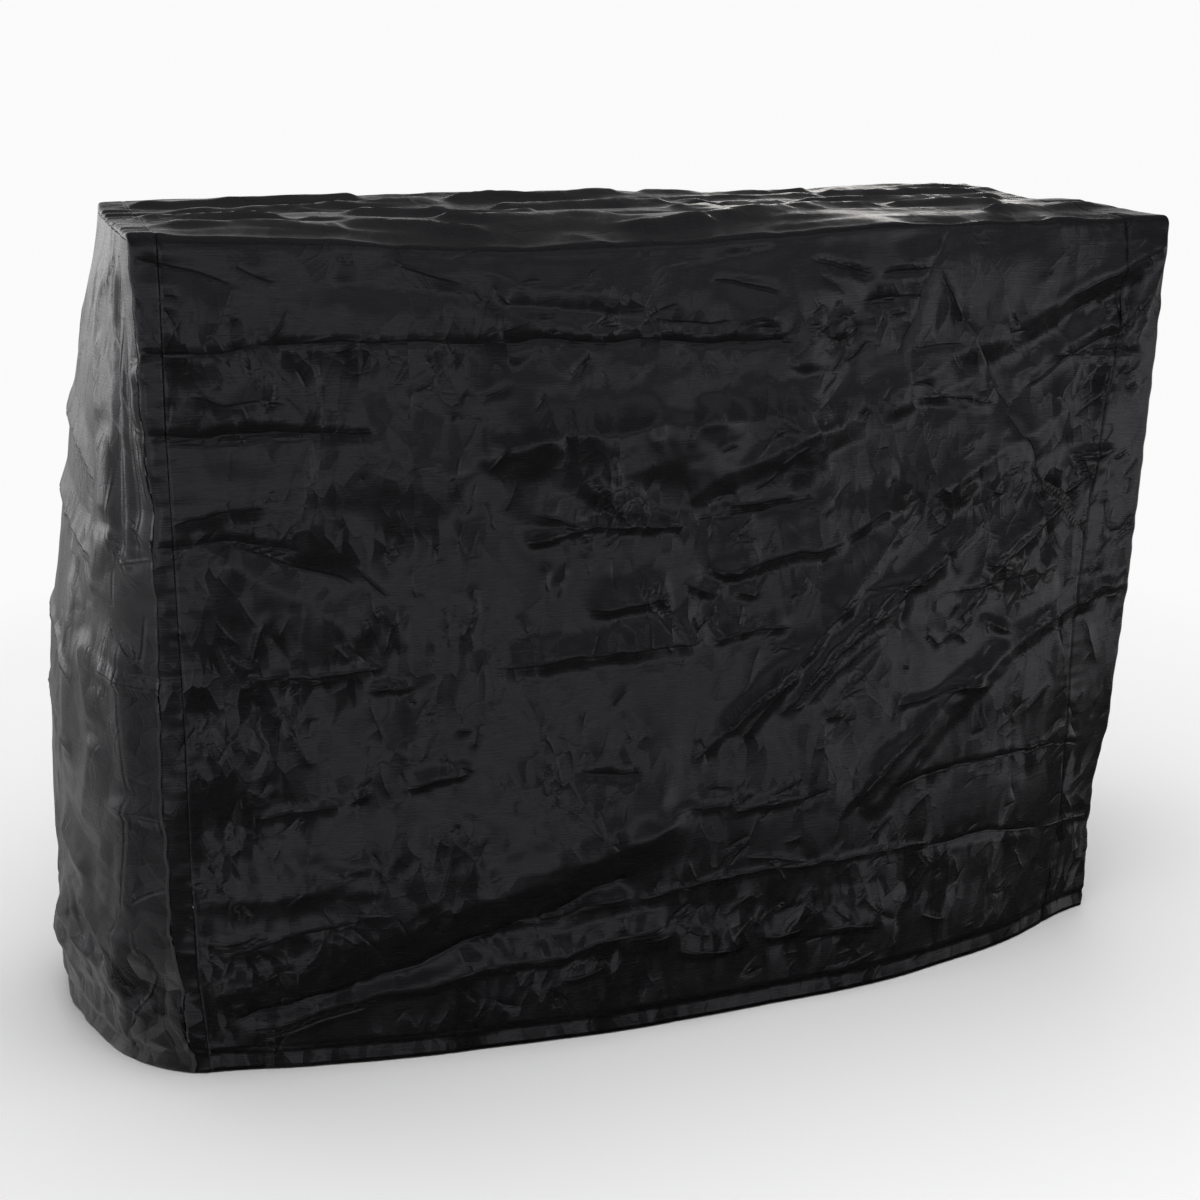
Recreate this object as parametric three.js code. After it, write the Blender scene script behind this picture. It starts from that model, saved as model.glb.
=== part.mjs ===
// Fitted cover for a table tennis table that stands folded upright.
// Millimetres, +X along the width, -Y is the front, +Z up. Three pieces of thin cloth are sewn together:
// one long strip for the front, top and back, and a panel for each end that wraps a little way round.
// The cover is hollow and open at the foot. Heights below are above the hem, and the whole is then
// lowered so that the origin lies at the middle of the top's underside, where the table holds it up.
import * as THREE from "three";

// Driving dimensions
const TOP_WIDTH = 1850;
const TOP_DEPTH = 756;
const FOOT_DEPTH = 617;
const HEIGHT = 1468;
const CLOTH = 2;
const SEAM_GAP = 0.4;
const TOP_EDGE_RADIUS = 18;
const CORNER_RADIUS = 12;
const LEAST_RIM = 3;
const HEM_HEIGHT = 28;
const HEM_TURN_IN = 14;
const END_SPINE_Y = 70;
const END_SPINE_DROP = 300;

// Mesh density
const STRIP_COLUMNS = 24;
const EDGE_STEPS = 3;
const TOP_STEPS = 8;
const RIM_STEPS = 1;
const CORNER_STEPS = 2;
const END_STEPS = 5;

// Heights of the rows of the mesh on the front and back: the hem, the packing creases and between them.
const ROW_HEIGHTS = [
  0, HEM_HEIGHT, 70, 115, 160, 212, 290, 370, 430, 488, 560, 640, 722, 800, 880, 958, 1045, 1135, 1210, 1284,
  1350, 1405,
];

// Seams and corner edges: distance from the middle plane at each height.
const LEFT_SEAM = [
  { z: 0, x: 897 }, { z: 190, x: 909 }, { z: 370, x: 906 }, { z: 760, x: 896 }, { z: 1110, x: 892 },
  { z: HEIGHT, x: 882 },
];
const RIGHT_SEAM = [
  { z: 0, x: 824 }, { z: 230, x: 843 }, { z: 420, x: 830 }, { z: 650, x: 818 }, { z: 860, x: 830 },
  { z: 1230, x: 860 }, { z: HEIGHT, x: 846 },
];
const LEFT_EDGE = [
  { z: 0, x: 922 }, { z: 160, x: 937 }, { z: 280, x: 951 }, { z: 500, x: 953 }, { z: 1000, x: 928 },
  { z: 1335, x: 921 }, { z: HEIGHT, x: 925 },
];
const RIGHT_EDGE = [
  { z: 0, x: 950 }, { z: 140, x: 940 }, { z: 270, x: 926 }, { z: 420, x: 951 }, { z: 780, x: 957 },
  { z: 1110, x: 953 }, { z: HEIGHT, x: 942 },
];

// How far the cloth stands out from the straight front at the hem, along the width, and how that fades with height.
const FRONT_BELLY = [
  { x: -925, out: -4 }, { x: -810, out: 36 }, { x: -500, out: 96 }, { x: -130, out: 138 }, { x: 360, out: 149 },
  { x: 700, out: 100 }, { x: 925, out: 8 },
];
const BACK_BELLY = [{ x: -925, out: 0 }, { x: -300, out: 52 }, { x: 420, out: 40 }, { x: 925, out: 0 }];
const BELLY_FADE = [{ z: 0, share: 1 }, { z: 330, share: 0.88 }, { z: 1180, share: 0 }];

// How far each end stands out past its corner edges, with height, and where across the depth it is fullest.
const LEFT_BULGE = [
  { z: 0, out: 214 }, { z: 110, out: 192 }, { z: 410, out: 161 }, { z: 690, out: 148 }, { z: 900, out: 123 },
  { z: 1100, out: 93 }, { z: 1250, out: 66 }, { z: 1350, out: 44 }, { z: HEIGHT, out: 2 },
];
const RIGHT_BULGE = [{ z: 0, out: 46 }, { z: 420, out: 58 }, { z: 1000, out: 34 }, { z: HEIGHT, out: 0 }];
const BULGE_FULLNESS = 0.62;
const LEFT_FULLEST_Y = 130;
const RIGHT_FULLEST_Y = -40;

// Drop of the soft shoulder where the top turns into the front, along the width, and its reach back and down.
const SHOULDER_DROP = [
  { x: -925, drop: 0 }, { x: -650, drop: 10 }, { x: -330, drop: 30 }, { x: 0, drop: 24 }, { x: 430, drop: 2 },
  { x: 925, drop: 8 },
];
const SHOULDER_REACH = 230;
const SHOULDER_FOOT = 1100;

// A low rise of the top towards its right back corner, and another along its back edge.
const TOP_RISE = { x: 800, y: 345, out: 18, reachX: 420, reachY: 330 };
const BACK_RISE = [
  { x: -925, out: 0 }, { x: -700, out: 8 }, { x: -300, out: 10 }, { x: -50, out: 15 }, { x: 180, out: 7 }, { x: 450, out: 0 },
];
const BACK_RISE_REACH = 260;

// Folds on the front, each a line from one end to the other. out is the ridge's height, below 0 for a trough,
// and above and below are the widths of its two flanks.
const FRONT_FOLDS = [
  { name: "first packing crease", x0: -905, z0: 1284, x1: 180, z1: 1268, out: -7, above: 60, below: 60 },
  { name: "second packing crease", x0: -905, z0: 1160, x1: 600, z1: 1136, out: 16, above: 130, below: 70 },
  { name: "third packing crease", x0: -905, z0: 985, x1: 0, z1: 936, out: 9, above: 75, below: 65 },
  { name: "fourth packing crease", x0: -905, z0: 735, x1: 220, z1: 728, out: 8, above: 70, below: 70 },
  { name: "fifth packing crease", x0: -930, z0: 490, x1: -60, z1: 480, out: 7, above: 70, below: 60 },
  { name: "sixth packing crease", x0: -430, z0: 180, x1: 880, z1: 208, out: 9, above: 60, below: 60 },
  { name: "bulge over the foot", x0: -860, z0: 190, x1: 330, z1: 430, out: 20, above: 240, below: 90 },
  { name: "trough under the bulge", x0: -840, z0: 95, x1: 160, z1: 330, out: -26, above: 80, below: 80 },
  { name: "ridge over the hem", x0: -760, z0: 62, x1: 560, z1: 112, out: 12, above: 60, below: 50 },
  { name: "first pull from the right corner", x0: 930, z0: 1400, x1: 0, z1: 880, out: 15, above: 120, below: 90 },
  { name: "trough beside the first pull", x0: 900, z0: 1330, x1: 160, z1: 800, out: -13, above: 80, below: 90 },
  { name: "second pull from the right corner", x0: 860, z0: 1180, x1: 60, z1: 520, out: 12, above: 90, below: 90 },
  { name: "third pull from the right edge", x0: 900, z0: 760, x1: 360, z1: 300, out: 14, above: 110, below: 100 },
  { name: "crease of the right corner", x0: 890, z0: 1300, x1: 820, z1: 760, out: -9, above: 60, below: 60 },
];

// Folds on the top run along its length. y is the place across the depth at the left and right ends.
const TOP_FOLDS = [
  { y0: -230, y1: -330, out: 9, width: 80 },
  { y0: -120, y1: -20, out: -9, width: 110 },
  { y0: 60, y1: 150, out: 8, width: 90 },
  { y0: 230, y1: 250, out: -7, width: 90 },
];

// Folds on the back, like the front's packing creases.
const BACK_FOLDS = [
  { name: "first packing crease", x0: -905, z0: 1284, x1: 905, z1: 1262, out: -6, above: 60, below: 60 },
  { name: "second packing crease", x0: -905, z0: 1135, x1: 905, z1: 1142, out: 10, above: 90, below: 70 },
  { name: "third packing crease", x0: -905, z0: 950, x1: 905, z1: 964, out: 8, above: 75, below: 65 },
  { name: "fourth packing crease", x0: -905, z0: 722, x1: 905, z1: 732, out: 8, above: 70, below: 70 },
  { name: "fifth packing crease", x0: -930, z0: 488, x1: 905, z1: 496, out: 7, above: 70, below: 60 },
  { name: "sixth packing crease", x0: -905, z0: 212, x1: 905, z1: 206, out: 8, above: 60, below: 60 },
  { name: "pull from the right corner", x0: 900, z0: 1380, x1: 260, z1: 760, out: 12, above: 110, below: 110 },
  { name: "pull from the left corner", x0: -900, z0: 1380, x1: -360, z1: 620, out: 12, above: 110, below: 110 },
];

// Upright pleats on the ends: y across the depth at the pleat's head and foot, from its top height to its bottom.
const LEFT_PLEATS = [
  { yTop: -250, yFoot: -270, zTop: 1420, zFoot: 700, out: -14, width: 90 },
  { yTop: -120, yFoot: -130, zTop: 1440, zFoot: 820, out: 20, width: 100 },
  { yTop: 20, yFoot: 10, zTop: 1380, zFoot: 520, out: -12, width: 110 },
  { yTop: 230, yFoot: 260, zTop: 1380, zFoot: 640, out: 12, width: 120 },
  { yTop: -160, yFoot: -190, zTop: 620, zFoot: 60, out: 16, width: 110 },
  { yTop: 90, yFoot: 120, zTop: 600, zFoot: 40, out: -12, width: 120 },
];
const RIGHT_PLEATS = [
  { yTop: -210, yFoot: -230, zTop: 1420, zFoot: 620, out: 13, width: 110 },
  { yTop: -20, yFoot: -30, zTop: 1430, zFoot: 300, out: -12, width: 120 },
  { yTop: 190, yFoot: 210, zTop: 1400, zFoot: 700, out: 14, width: 110 },
  { yTop: 120, yFoot: 150, zTop: 560, zFoot: 40, out: 12, width: 120 },
];

// Lengths over which folds die out: at their ends, below the top's edge, inside the top's edges, at the ends of the
// pleats, and the share of the depth at an end's corner edges that has no pleat.
const FOLD_END_FADE = 90;
const FOLD_TOP_FADE = 70;
const TOP_FOLD_FADE = 60;
const PLEAT_FADE = 120;
const PLEAT_MARGIN = 0.33;

const smooth = (t) => THREE.MathUtils.smoothstep(t, 0, 1);

// The value of one column of a table at a place along another, read as a curve through the rows. The rows are in
// rising order of the key.
function along(rows, key, at, column) {
  const last = rows.length - 1;
  const value = (i) => rows[THREE.MathUtils.clamp(i, 0, last)][column];
  if (at <= rows[0][key]) return value(0);
  if (at >= rows[last][key]) return value(last);
  const i = rows.findIndex((row) => row[key] > at);
  const share = (at - rows[i - 1][key]) / (rows[i][key] - rows[i - 1][key]);
  const straight = THREE.MathUtils.lerp(value(i - 1), value(i), share);
  const eased = THREE.MathUtils.lerp(value(i - 1), value(i), smooth(share));
  return (straight + eased) / 2;
}

// A ridge that is sharp along its line and dies out at the width of its flank.
function flank(distance, width) {
  const share = Math.min(Math.abs(distance) / width, 1);
  return (1 - share) ** 2;
}

// How far one fold lifts the cloth at a point of a face.
function foldAt(fold, x, z) {
  const run = new THREE.Vector2(fold.x1 - fold.x0, fold.z1 - fold.z0);
  const length = run.length();
  run.divideScalar(length);
  const from = new THREE.Vector2(x - fold.x0, z - fold.z0);
  const reached = from.dot(run);
  const beyond = Math.max(-reached, reached - length, 0);
  const side = Math.abs(run.x) * (from.y - (run.y / (run.x || 1)) * from.x);
  const fade = smooth(1 - beyond / FOLD_END_FADE);
  return fold.out * flank(side, side > 0 ? fold.above : fold.below) * fade;
}

const foldsAt = (folds, x, z) => folds.reduce((sum, fold) => sum + foldAt(fold, x, z), 0);

// The folds die out towards the top's edge, so that each face meets the next one cleanly.
const nearTop = (z) => smooth((HEIGHT - TOP_EDGE_RADIUS - z) / FOLD_TOP_FADE);

// How far the cloth is turned in at the hem.
const hemTurn = (z) => HEM_TURN_IN * smooth(1 - z / HEM_HEIGHT);

// Distance of the front or back from the middle plane at a place.
function faceDepth(front, x, z) {
  const straight = THREE.MathUtils.lerp(FOOT_DEPTH / 2, TOP_DEPTH / 2, z / HEIGHT);
  const belly = along(front ? FRONT_BELLY : BACK_BELLY, "x", x, "out") * along(BELLY_FADE, "z", z, "share");
  const folds = foldsAt(front ? FRONT_FOLDS : BACK_FOLDS, x, z) * nearTop(z);
  return straight + belly + folds - hemTurn(z);
}

// How far the top's surface lies from the flat at a place.
function topLift(x, y) {
  const share = (x + TOP_WIDTH / 2) / TOP_WIDTH;
  const inside = smooth((TOP_DEPTH / 2 - TOP_EDGE_RADIUS - Math.abs(y)) / TOP_FOLD_FADE);
  const folds = TOP_FOLDS.reduce(
    (sum, f) => sum + f.out * flank(y - THREE.MathUtils.lerp(f.y0, f.y1, share), f.width),
    0,
  );
  const shoulder = smooth(1 - (y + TOP_DEPTH / 2) / SHOULDER_REACH);
  const fromRise = Math.hypot((x - TOP_RISE.x) / TOP_RISE.reachX, (y - TOP_RISE.y) / TOP_RISE.reachY);
  const atBack = smooth(1 - (TOP_DEPTH / 2 - y) / BACK_RISE_REACH);
  const rise = TOP_RISE.out * smooth(1 - fromRise) + along(BACK_RISE, "x", x, "out") * atBack;
  return folds * inside + rise - along(SHOULDER_DROP, "x", x, "drop") * shoulder;
}

// The stations of the strip's length, from the front's hem over the top to the back's hem. Each says which face it
// is on, where on it, the profile's outward direction, and the height that it has on the ends' spine.
function makeStations() {
  const spineTop = HEIGHT - END_SPINE_DROP;
  const spine = (z) => (z / ROW_HEIGHTS.at(-1)) * spineTop;
  const front = ROW_HEIGHTS.map((z) => ({ face: "front", z, spine: spine(z) }));
  const turns = Array.from({ length: EDGE_STEPS + 1 }, (_, i) => ((i / EDGE_STEPS) * Math.PI) / 2);
  const frontEdge = turns.map((turn) => ({ face: "front edge", turn, spine: spineTop }));
  const flat = TOP_DEPTH / 2 - TOP_EDGE_RADIUS;
  const top = Array.from({ length: TOP_STEPS - 1 }, (_, i) => ({
    face: "top",
    y: flat * (-1 + (2 * (i + 1)) / TOP_STEPS),
    spine: spineTop,
  }));
  const backEdge = turns.toReversed().map((turn) => ({ face: "back edge", turn, spine: spineTop }));
  const back = ROW_HEIGHTS.toReversed().map((z) => ({ face: "back", z, spine: spine(z) }));
  return [...front, ...frontEdge, ...top, ...backEdge, ...back];
}

const stations = makeStations();

// The point of the cover's profile surface at a place along the width, with its outward direction in y and z.
function profilePoint(x, station) {
  const { face } = station;
  if (face === "top") {
    return { y: station.y, z: HEIGHT + topLift(x, station.y), outY: 0, outZ: 1 };
  }
  const front = face.startsWith("front");
  const side = front ? -1 : 1;
  if (face === "front" || face === "back") {
    const share = smooth((station.z - SHOULDER_FOOT) / (ROW_HEIGHTS.at(-1) - SHOULDER_FOOT));
    const drop = front ? along(SHOULDER_DROP, "x", x, "drop") * share : 0;
    return { y: side * faceDepth(front, x, station.z), z: station.z - drop, outY: side, outZ: 0 };
  }
  const outY = side * Math.cos(station.turn);
  const outZ = Math.sin(station.turn);
  const centreY = side * (TOP_DEPTH / 2 - TOP_EDGE_RADIUS);
  const centreZ = HEIGHT - TOP_EDGE_RADIUS + topLift(x, centreY);
  return { y: centreY + TOP_EDGE_RADIUS * outY, z: centreZ + TOP_EDGE_RADIUS * outZ, outY, outZ };
}

const heightOf = (station) => station.z ?? HEIGHT;

// How far an end stands out past its corner edges at a place on it.
function endOut(end, y, z) {
  const half = THREE.MathUtils.lerp(FOOT_DEPTH / 2, TOP_DEPTH / 2, z / HEIGHT);
  const peak = end.fullestY;
  const share = y < peak ? (y + half) / (peak + half) : (half - y) / (half - peak);
  const across = Math.sin((THREE.MathUtils.clamp(share, 0, 1) * Math.PI) / 2) ** BULGE_FULLNESS;
  const pleats = end.pleats.reduce((sum, p) => {
    const down = (p.zTop - z) / (p.zTop - p.zFoot);
    const inside = smooth((p.zTop - z) / PLEAT_FADE) * smooth((z - p.zFoot) / PLEAT_FADE);
    return sum + p.out * flank(y - THREE.MathUtils.lerp(p.yTop, p.yFoot, down), p.width) * inside;
  }, 0);
  return along(end.bulge, "z", z, "out") * across + pleats * smooth(across / PLEAT_MARGIN);
}

const ENDS = {
  left: { side: -1, seam: LEFT_SEAM, edge: LEFT_EDGE, bulge: LEFT_BULGE, fullestY: LEFT_FULLEST_Y, pleats: LEFT_PLEATS },
  right: {
    side: 1, seam: RIGHT_SEAM, edge: RIGHT_EDGE, bulge: RIGHT_BULGE, fullestY: RIGHT_FULLEST_Y, pleats: RIGHT_PLEATS,
  },
};

const seamX = (end, station) => end.side * along(end.seam, "z", heightOf(station), "x");

// A row of points of an end panel at one station, from its seam round the corner edge to the end's spine.
function endRow(end, station) {
  const points = [];
  const edge = along(end.edge, "z", heightOf(station), "x");
  const rimStart = seamX(end, station) + (end.side * SEAM_GAP) / 2;
  const rimEnd = end.side * Math.max(edge - CORNER_RADIUS, Math.abs(rimStart) + LEAST_RIM);
  const radius = edge - Math.abs(rimEnd);
  for (let i = 0; i <= RIM_STEPS; i++) {
    const x = THREE.MathUtils.lerp(rimStart, rimEnd, i / RIM_STEPS);
    const p = profilePoint(x, station);
    points.push(new THREE.Vector3(x, p.y, p.z));
  }
  const base = profilePoint(rimEnd, station);
  for (let i = 1; i <= CORNER_STEPS; i++) {
    const turn = ((i / CORNER_STEPS) * Math.PI) / 2;
    const inward = radius * (1 - Math.cos(turn));
    points.push(
      new THREE.Vector3(
        rimEnd + end.side * radius * Math.sin(turn),
        base.y - base.outY * inward,
        base.z - base.outZ * inward,
      ),
    );
  }
  const from = points.at(-1);
  for (let i = 1; i <= END_STEPS; i++) {
    const y = THREE.MathUtils.lerp(from.y, END_SPINE_Y, i / END_STEPS);
    const z = THREE.MathUtils.lerp(from.z, station.spine, i / END_STEPS);
    const edgeHere = along(end.edge, "z", z, "x");
    const x = end.side * (edgeHere + endOut(end, y, z) - hemTurn(z));
    points.push(new THREE.Vector3(x, y, z));
  }
  return points;
}

// A closed sheet from an open surface: the surface, a copy one cloth inside it, and a wall round every free edge.
// Points named in seamPoints are moved inwards without any move along X, so that two panels meet at a seam squarely.
function thicken(points, triangles, seamPoints) {
  const surface = new THREE.BufferGeometry().setFromPoints(points);
  surface.setIndex(triangles.flat());
  surface.computeVertexNormals();
  const normals = surface.getAttribute("normal");
  const inner = points.map((point, i) => {
    const normal = new THREE.Vector3().fromBufferAttribute(normals, i);
    if (seamPoints.has(i)) normal.setX(0).normalize();
    return point.clone().addScaledVector(normal, -CLOTH);
  });
  const count = points.length;
  const edges = new Map();
  for (const [a, b, c] of triangles) {
    for (const [from, to] of [[a, b], [b, c], [c, a]]) edges.set(`${from} ${to}`, [from, to]);
  }
  const faces = [...triangles, ...triangles.map(([a, b, c]) => [a + count, c + count, b + count])];
  for (const [from, to] of edges.values()) {
    if (edges.has(`${to} ${from}`)) continue;
    faces.push([to, from, from + count], [to, from + count, to + count]);
  }
  const sheet = new THREE.BufferGeometry().setFromPoints([...points, ...inner]);
  sheet.setIndex(faces.flat());
  sheet.computeVertexNormals();
  return sheet;
}

// The strip for the front, top and back, between the two seams.
function stripGeometry() {
  const points = [];
  const seamPoints = new Set();
  for (const station of stations) {
    const left = seamX(ENDS.left, station) + SEAM_GAP / 2;
    const right = seamX(ENDS.right, station) - SEAM_GAP / 2;
    for (let i = 0; i <= STRIP_COLUMNS; i++) {
      const x = THREE.MathUtils.lerp(left, right, i / STRIP_COLUMNS);
      const p = profilePoint(x, station);
      if (i === 0 || i === STRIP_COLUMNS) seamPoints.add(points.length);
      points.push(new THREE.Vector3(x, p.y, p.z));
    }
  }
  const triangles = [];
  const across = STRIP_COLUMNS + 1;
  for (let row = 0; row + 1 < stations.length; row++) {
    for (let i = 0; i < STRIP_COLUMNS; i++) {
      const a = row * across + i;
      triangles.push([a, a + 1, a + across + 1], [a, a + across + 1, a + across]);
    }
  }
  return thicken(points, triangles, seamPoints);
}

// An end panel: its rows run from the seam in to a spine down the middle, and the rows of the top fan out from
// the spine's head.
function endGeometry(end) {
  const points = [];
  const seamPoints = new Set();
  const spineIndex = new Map();
  const rows = stations.map((station) => {
    const row = endRow(end, station);
    const spinePoint = row.pop();
    const indices = row.map((point, i) => {
      if (i === 0) seamPoints.add(points.length);
      return points.push(point) - 1;
    });
    if (!spineIndex.has(station.spine)) spineIndex.set(station.spine, points.push(spinePoint) - 1);
    return [...indices, spineIndex.get(station.spine)];
  });
  const triangles = [];
  for (let r = 0; r + 1 < rows.length; r++) {
    for (let i = 0; i + 1 < rows[r].length; i++) {
      const corners = [rows[r][i], rows[r][i + 1], rows[r + 1][i + 1], rows[r + 1][i]];
      const [a, b, c, d] = end.side < 0 ? corners.toReversed() : corners;
      for (const triangle of [[a, b, c], [a, c, d]]) {
        if (new Set(triangle).size === 3) triangles.push(triangle);
      }
    }
  }
  return thicken(points, triangles, seamPoints);
}

// Thin black coated polyester, a little glossy.
function clothMaterial() {
  return new THREE.MeshStandardMaterial({ color: 0x1b1a1c, roughness: 0.42, metalness: 0 });
}

function piece(name, geometry) {
  const mesh = new THREE.Mesh(geometry, clothMaterial());
  mesh.name = name;
  return mesh;
}

const cover = new THREE.Group();
const standing = new THREE.Group();
standing.position.z = CLOTH - HEIGHT;
standing.add(
  piece("main_panel", stripGeometry()),
  piece("left_end_panel", endGeometry(ENDS.left)),
  piece("right_end_panel", endGeometry(ENDS.right)),
);
cover.add(standing);

export default cover;
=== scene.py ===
"""Looks of a fitted cover for a table tennis table that stands folded upright.

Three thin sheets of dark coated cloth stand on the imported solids: one long strip for the front, top and back,
and a panel for each end. Sizes are in millimetres, with heights above the hem, until a mesh is made.
"""
import math
from collections import namedtuple

import bpy
import numpy as np
from mathutils import Matrix, Vector
from mathutils.geometry import delaunay_2d_cdt


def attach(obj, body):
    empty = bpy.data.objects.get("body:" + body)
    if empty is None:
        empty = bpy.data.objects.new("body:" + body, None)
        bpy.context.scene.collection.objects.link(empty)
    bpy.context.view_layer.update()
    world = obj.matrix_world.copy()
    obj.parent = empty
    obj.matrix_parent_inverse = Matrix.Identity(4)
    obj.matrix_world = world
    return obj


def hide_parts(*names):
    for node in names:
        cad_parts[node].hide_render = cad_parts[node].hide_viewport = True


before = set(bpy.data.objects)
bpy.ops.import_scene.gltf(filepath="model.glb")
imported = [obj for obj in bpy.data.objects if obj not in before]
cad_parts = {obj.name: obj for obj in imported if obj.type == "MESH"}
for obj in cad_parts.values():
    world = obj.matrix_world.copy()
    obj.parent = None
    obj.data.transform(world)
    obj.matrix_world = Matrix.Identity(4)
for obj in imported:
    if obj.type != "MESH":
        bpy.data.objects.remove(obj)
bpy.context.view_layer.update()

# Driving sizes: the solids' own, but for the corners' radius and the hem, which are tighter here
TOP_WIDTH = 1850
TOP_DEPTH = 756
FOOT_DEPTH = 617
HEIGHT = 1468
CLOTH = 2
SEAM_GAP = 0.8
TOP_EDGE_RADIUS = 18
CORNER_RADIUS = 7
LEAST_RIM = 3
FAR_SIDE = 1e6
HEM_HEIGHT = 28
HEM_TURN_IN = 1
MM = 0.001

# The strip's flat length, from the front's hem over the top to the back's hem
FACE = HEIGHT - TOP_EDGE_RADIUS
EDGE_ARC = math.pi / 2 * TOP_EDGE_RADIUS
FLAT_TOP = TOP_DEPTH - 2 * TOP_EDGE_RADIUS
TOP_START = FACE + EDGE_ARC
STRIP_LENGTH = 2 * TOP_START + FLAT_TOP

# Seams and corner edges: distance from the middle plane at each height
LEFT_SEAM = {"z": (0, 190, 370, 760, 1110, HEIGHT), "x": (897, 909, 906, 896, 892, 882)}
RIGHT_SEAM = {"z": (0, 230, 420, 650, 860, 1230, HEIGHT), "x": (824, 843, 830, 818, 830, 860, 846)}
LEFT_EDGE = {"z": (0, 160, 280, 500, 1000, 1335, HEIGHT), "x": (922, 937, 951, 953, 928, 921, 925)}
RIGHT_EDGE = {"z": (0, 140, 270, 420, 780, 1110, HEIGHT), "x": (950, 940, 926, 951, 957, 953, 942)}

# How far the front and back stand out at the hem, and how that fades with height
FRONT_BELLY = {"x": (-925, -810, -500, -130, 360, 700, 925), "out": (-4, 36, 96, 138, 149, 100, 8)}
BACK_BELLY = {"x": (-925, -300, 420, 925), "out": (0, 52, 40, 0)}
BELLY_FADE = {"z": (0, 330, 1180), "share": (1, 0.88, 0)}

# How far each end stands out past its corner edges, and where across the depth it is fullest
LEFT_BULGE = {"z": (0, 110, 410, 690, 900, 1100, 1250, 1350, HEIGHT),
              "out": (214, 192, 161, 148, 123, 93, 66, 44, 2)}
RIGHT_BULGE = {"z": (0, 420, 1000, HEIGHT), "out": (46, 58, 34, 0)}
BULGE_FULLNESS = 0.62
LEFT_FULLEST_Y = 130
RIGHT_FULLEST_Y = -40

# Drop of the soft shoulder along the top's front edge, and the top's low rises towards the back
SHOULDER_DROP = {"x": (-925, -650, -330, 0, 430, 925), "drop": (0, 10, 30, 24, 2, 8)}
SHOULDER_REACH = 230
SHOULDER_FOOT = 1100
TOP_RISE = {"x": 800, "y": 345, "out": 18, "reach_x": 420, "reach_y": 330}
BACK_RISE = {"x": (-925, -700, -300, -50, 180, 450, 925), "out": (0, 8, 10, 15, 7, 0, 0)}
BACK_RISE_REACH = 260

# Lengths over which the tables' corners are rounded off
SOFT_X = 90
SOFT_Z = 60

# Mesh density: the spacing of the strip's columns and of the rows on each face, and of an end's points
STRIP_COLUMNS = 274
FRONT_ROW = 6.3
TOP_ROW = 11
BACK_ROW = 16
END_ROW = 5.6
RIM_STEP = 6
CORNER_STEPS = 5
ALLOWANCE = ((0.5, 3), (1.0, 9))
HEM_LAYER = ((2.6, 1), (3.2, 2), (3.0, 4))
FOOT_ROWS = 8

# The raster that the fine relief is worked out on, in the cloth's flat sizes
CELL = 4.0


def off_hem(v):
    """Distance from the nearer hem along the strip."""
    return np.where(v > STRIP_LENGTH / 2, STRIP_LENGTH - v, v)


def smooth(share):
    share = np.clip(share, 0, 1)
    return share * share * (3 - 2 * share)


def along(table, at, soft=0.0):
    """A table's second column at places of its first, as a curve whose corners are rounded off over soft."""
    places, values = (np.array(column, float) for column in table.values())
    total = 0
    for step, weight in ((-1, 0.2), (-0.5, 0.2), (0, 0.2), (0.5, 0.2), (1, 0.2)):
        here = np.clip(at + step * soft, places[0], places[-1])
        i = np.clip(np.searchsorted(places, here, side="right"), 1, len(places) - 1)
        share = (here - places[i - 1]) / (places[i] - places[i - 1])
        total += weight * (values[i - 1] + (values[i] - values[i - 1]) * (share + smooth(share)) / 2)
    return total


def face_depth(side, x, z):
    """Distance of the front (side -1) or back (side 1) from the middle plane, without its folds."""
    straight = (FOOT_DEPTH + (TOP_DEPTH - FOOT_DEPTH) * z / FACE) / 2
    belly = np.where(side < 0, along(FRONT_BELLY, x, SOFT_X), along(BACK_BELLY, x, SOFT_X))
    return straight + belly * along(BELLY_FADE, z, SOFT_Z) - HEM_TURN_IN * smooth(1 - z / HEM_HEIGHT)


def top_lift(x, y):
    """How far the top's broad form lies above the flat."""
    shoulder = along(SHOULDER_DROP, x, SOFT_X) * smooth(1 - (y + TOP_DEPTH / 2) / SHOULDER_REACH)
    across = (x - TOP_RISE["x"]) / TOP_RISE["reach_x"]
    back = (y - TOP_RISE["y"]) / TOP_RISE["reach_y"]
    rise = along(BACK_RISE, x, SOFT_X) * smooth(1 - (TOP_DEPTH / 2 - y) / BACK_RISE_REACH)
    return TOP_RISE["out"] * smooth(1 - np.hypot(across, back)) + rise - shoulder


def strip_surface(x, v):
    """Points of the cover's profile at places x and flat lengths v, with the outward direction there."""
    x, v = np.broadcast_arrays(np.asarray(x, float), np.asarray(v, float))
    side = np.where(v > STRIP_LENGTH / 2, 1.0, -1.0)
    from_hem = off_hem(v)
    z = np.clip(from_hem, 0, FACE)
    turn = np.clip((from_hem - FACE) / TOP_EDGE_RADIUS, 0, math.pi / 2)
    y_top = side * (FLAT_TOP / 2 - np.clip(from_hem - TOP_START, 0, None))
    on_face = from_hem <= FACE
    share = smooth((z - SHOULDER_FOOT) / (FACE - SHOULDER_FOOT))
    lift = top_lift(x, y_top) * np.where(on_face, share, 1)
    y = np.where(on_face, side * face_depth(side, x, z), y_top + side * TOP_EDGE_RADIUS * np.cos(turn))
    height = np.where(on_face, z, FACE + TOP_EDGE_RADIUS * np.sin(turn)) + lift
    out = np.stack((np.zeros_like(x), side * np.cos(turn), np.sin(turn)), -1)
    return np.stack((x, y, height), -1), out


# The photograph's camera in the cover's own sizes. The front's folds were measured where it sees them on the
# straight plane through the corner edges.
CAMERA = (-1074.6, -2832, 1654.4)


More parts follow.
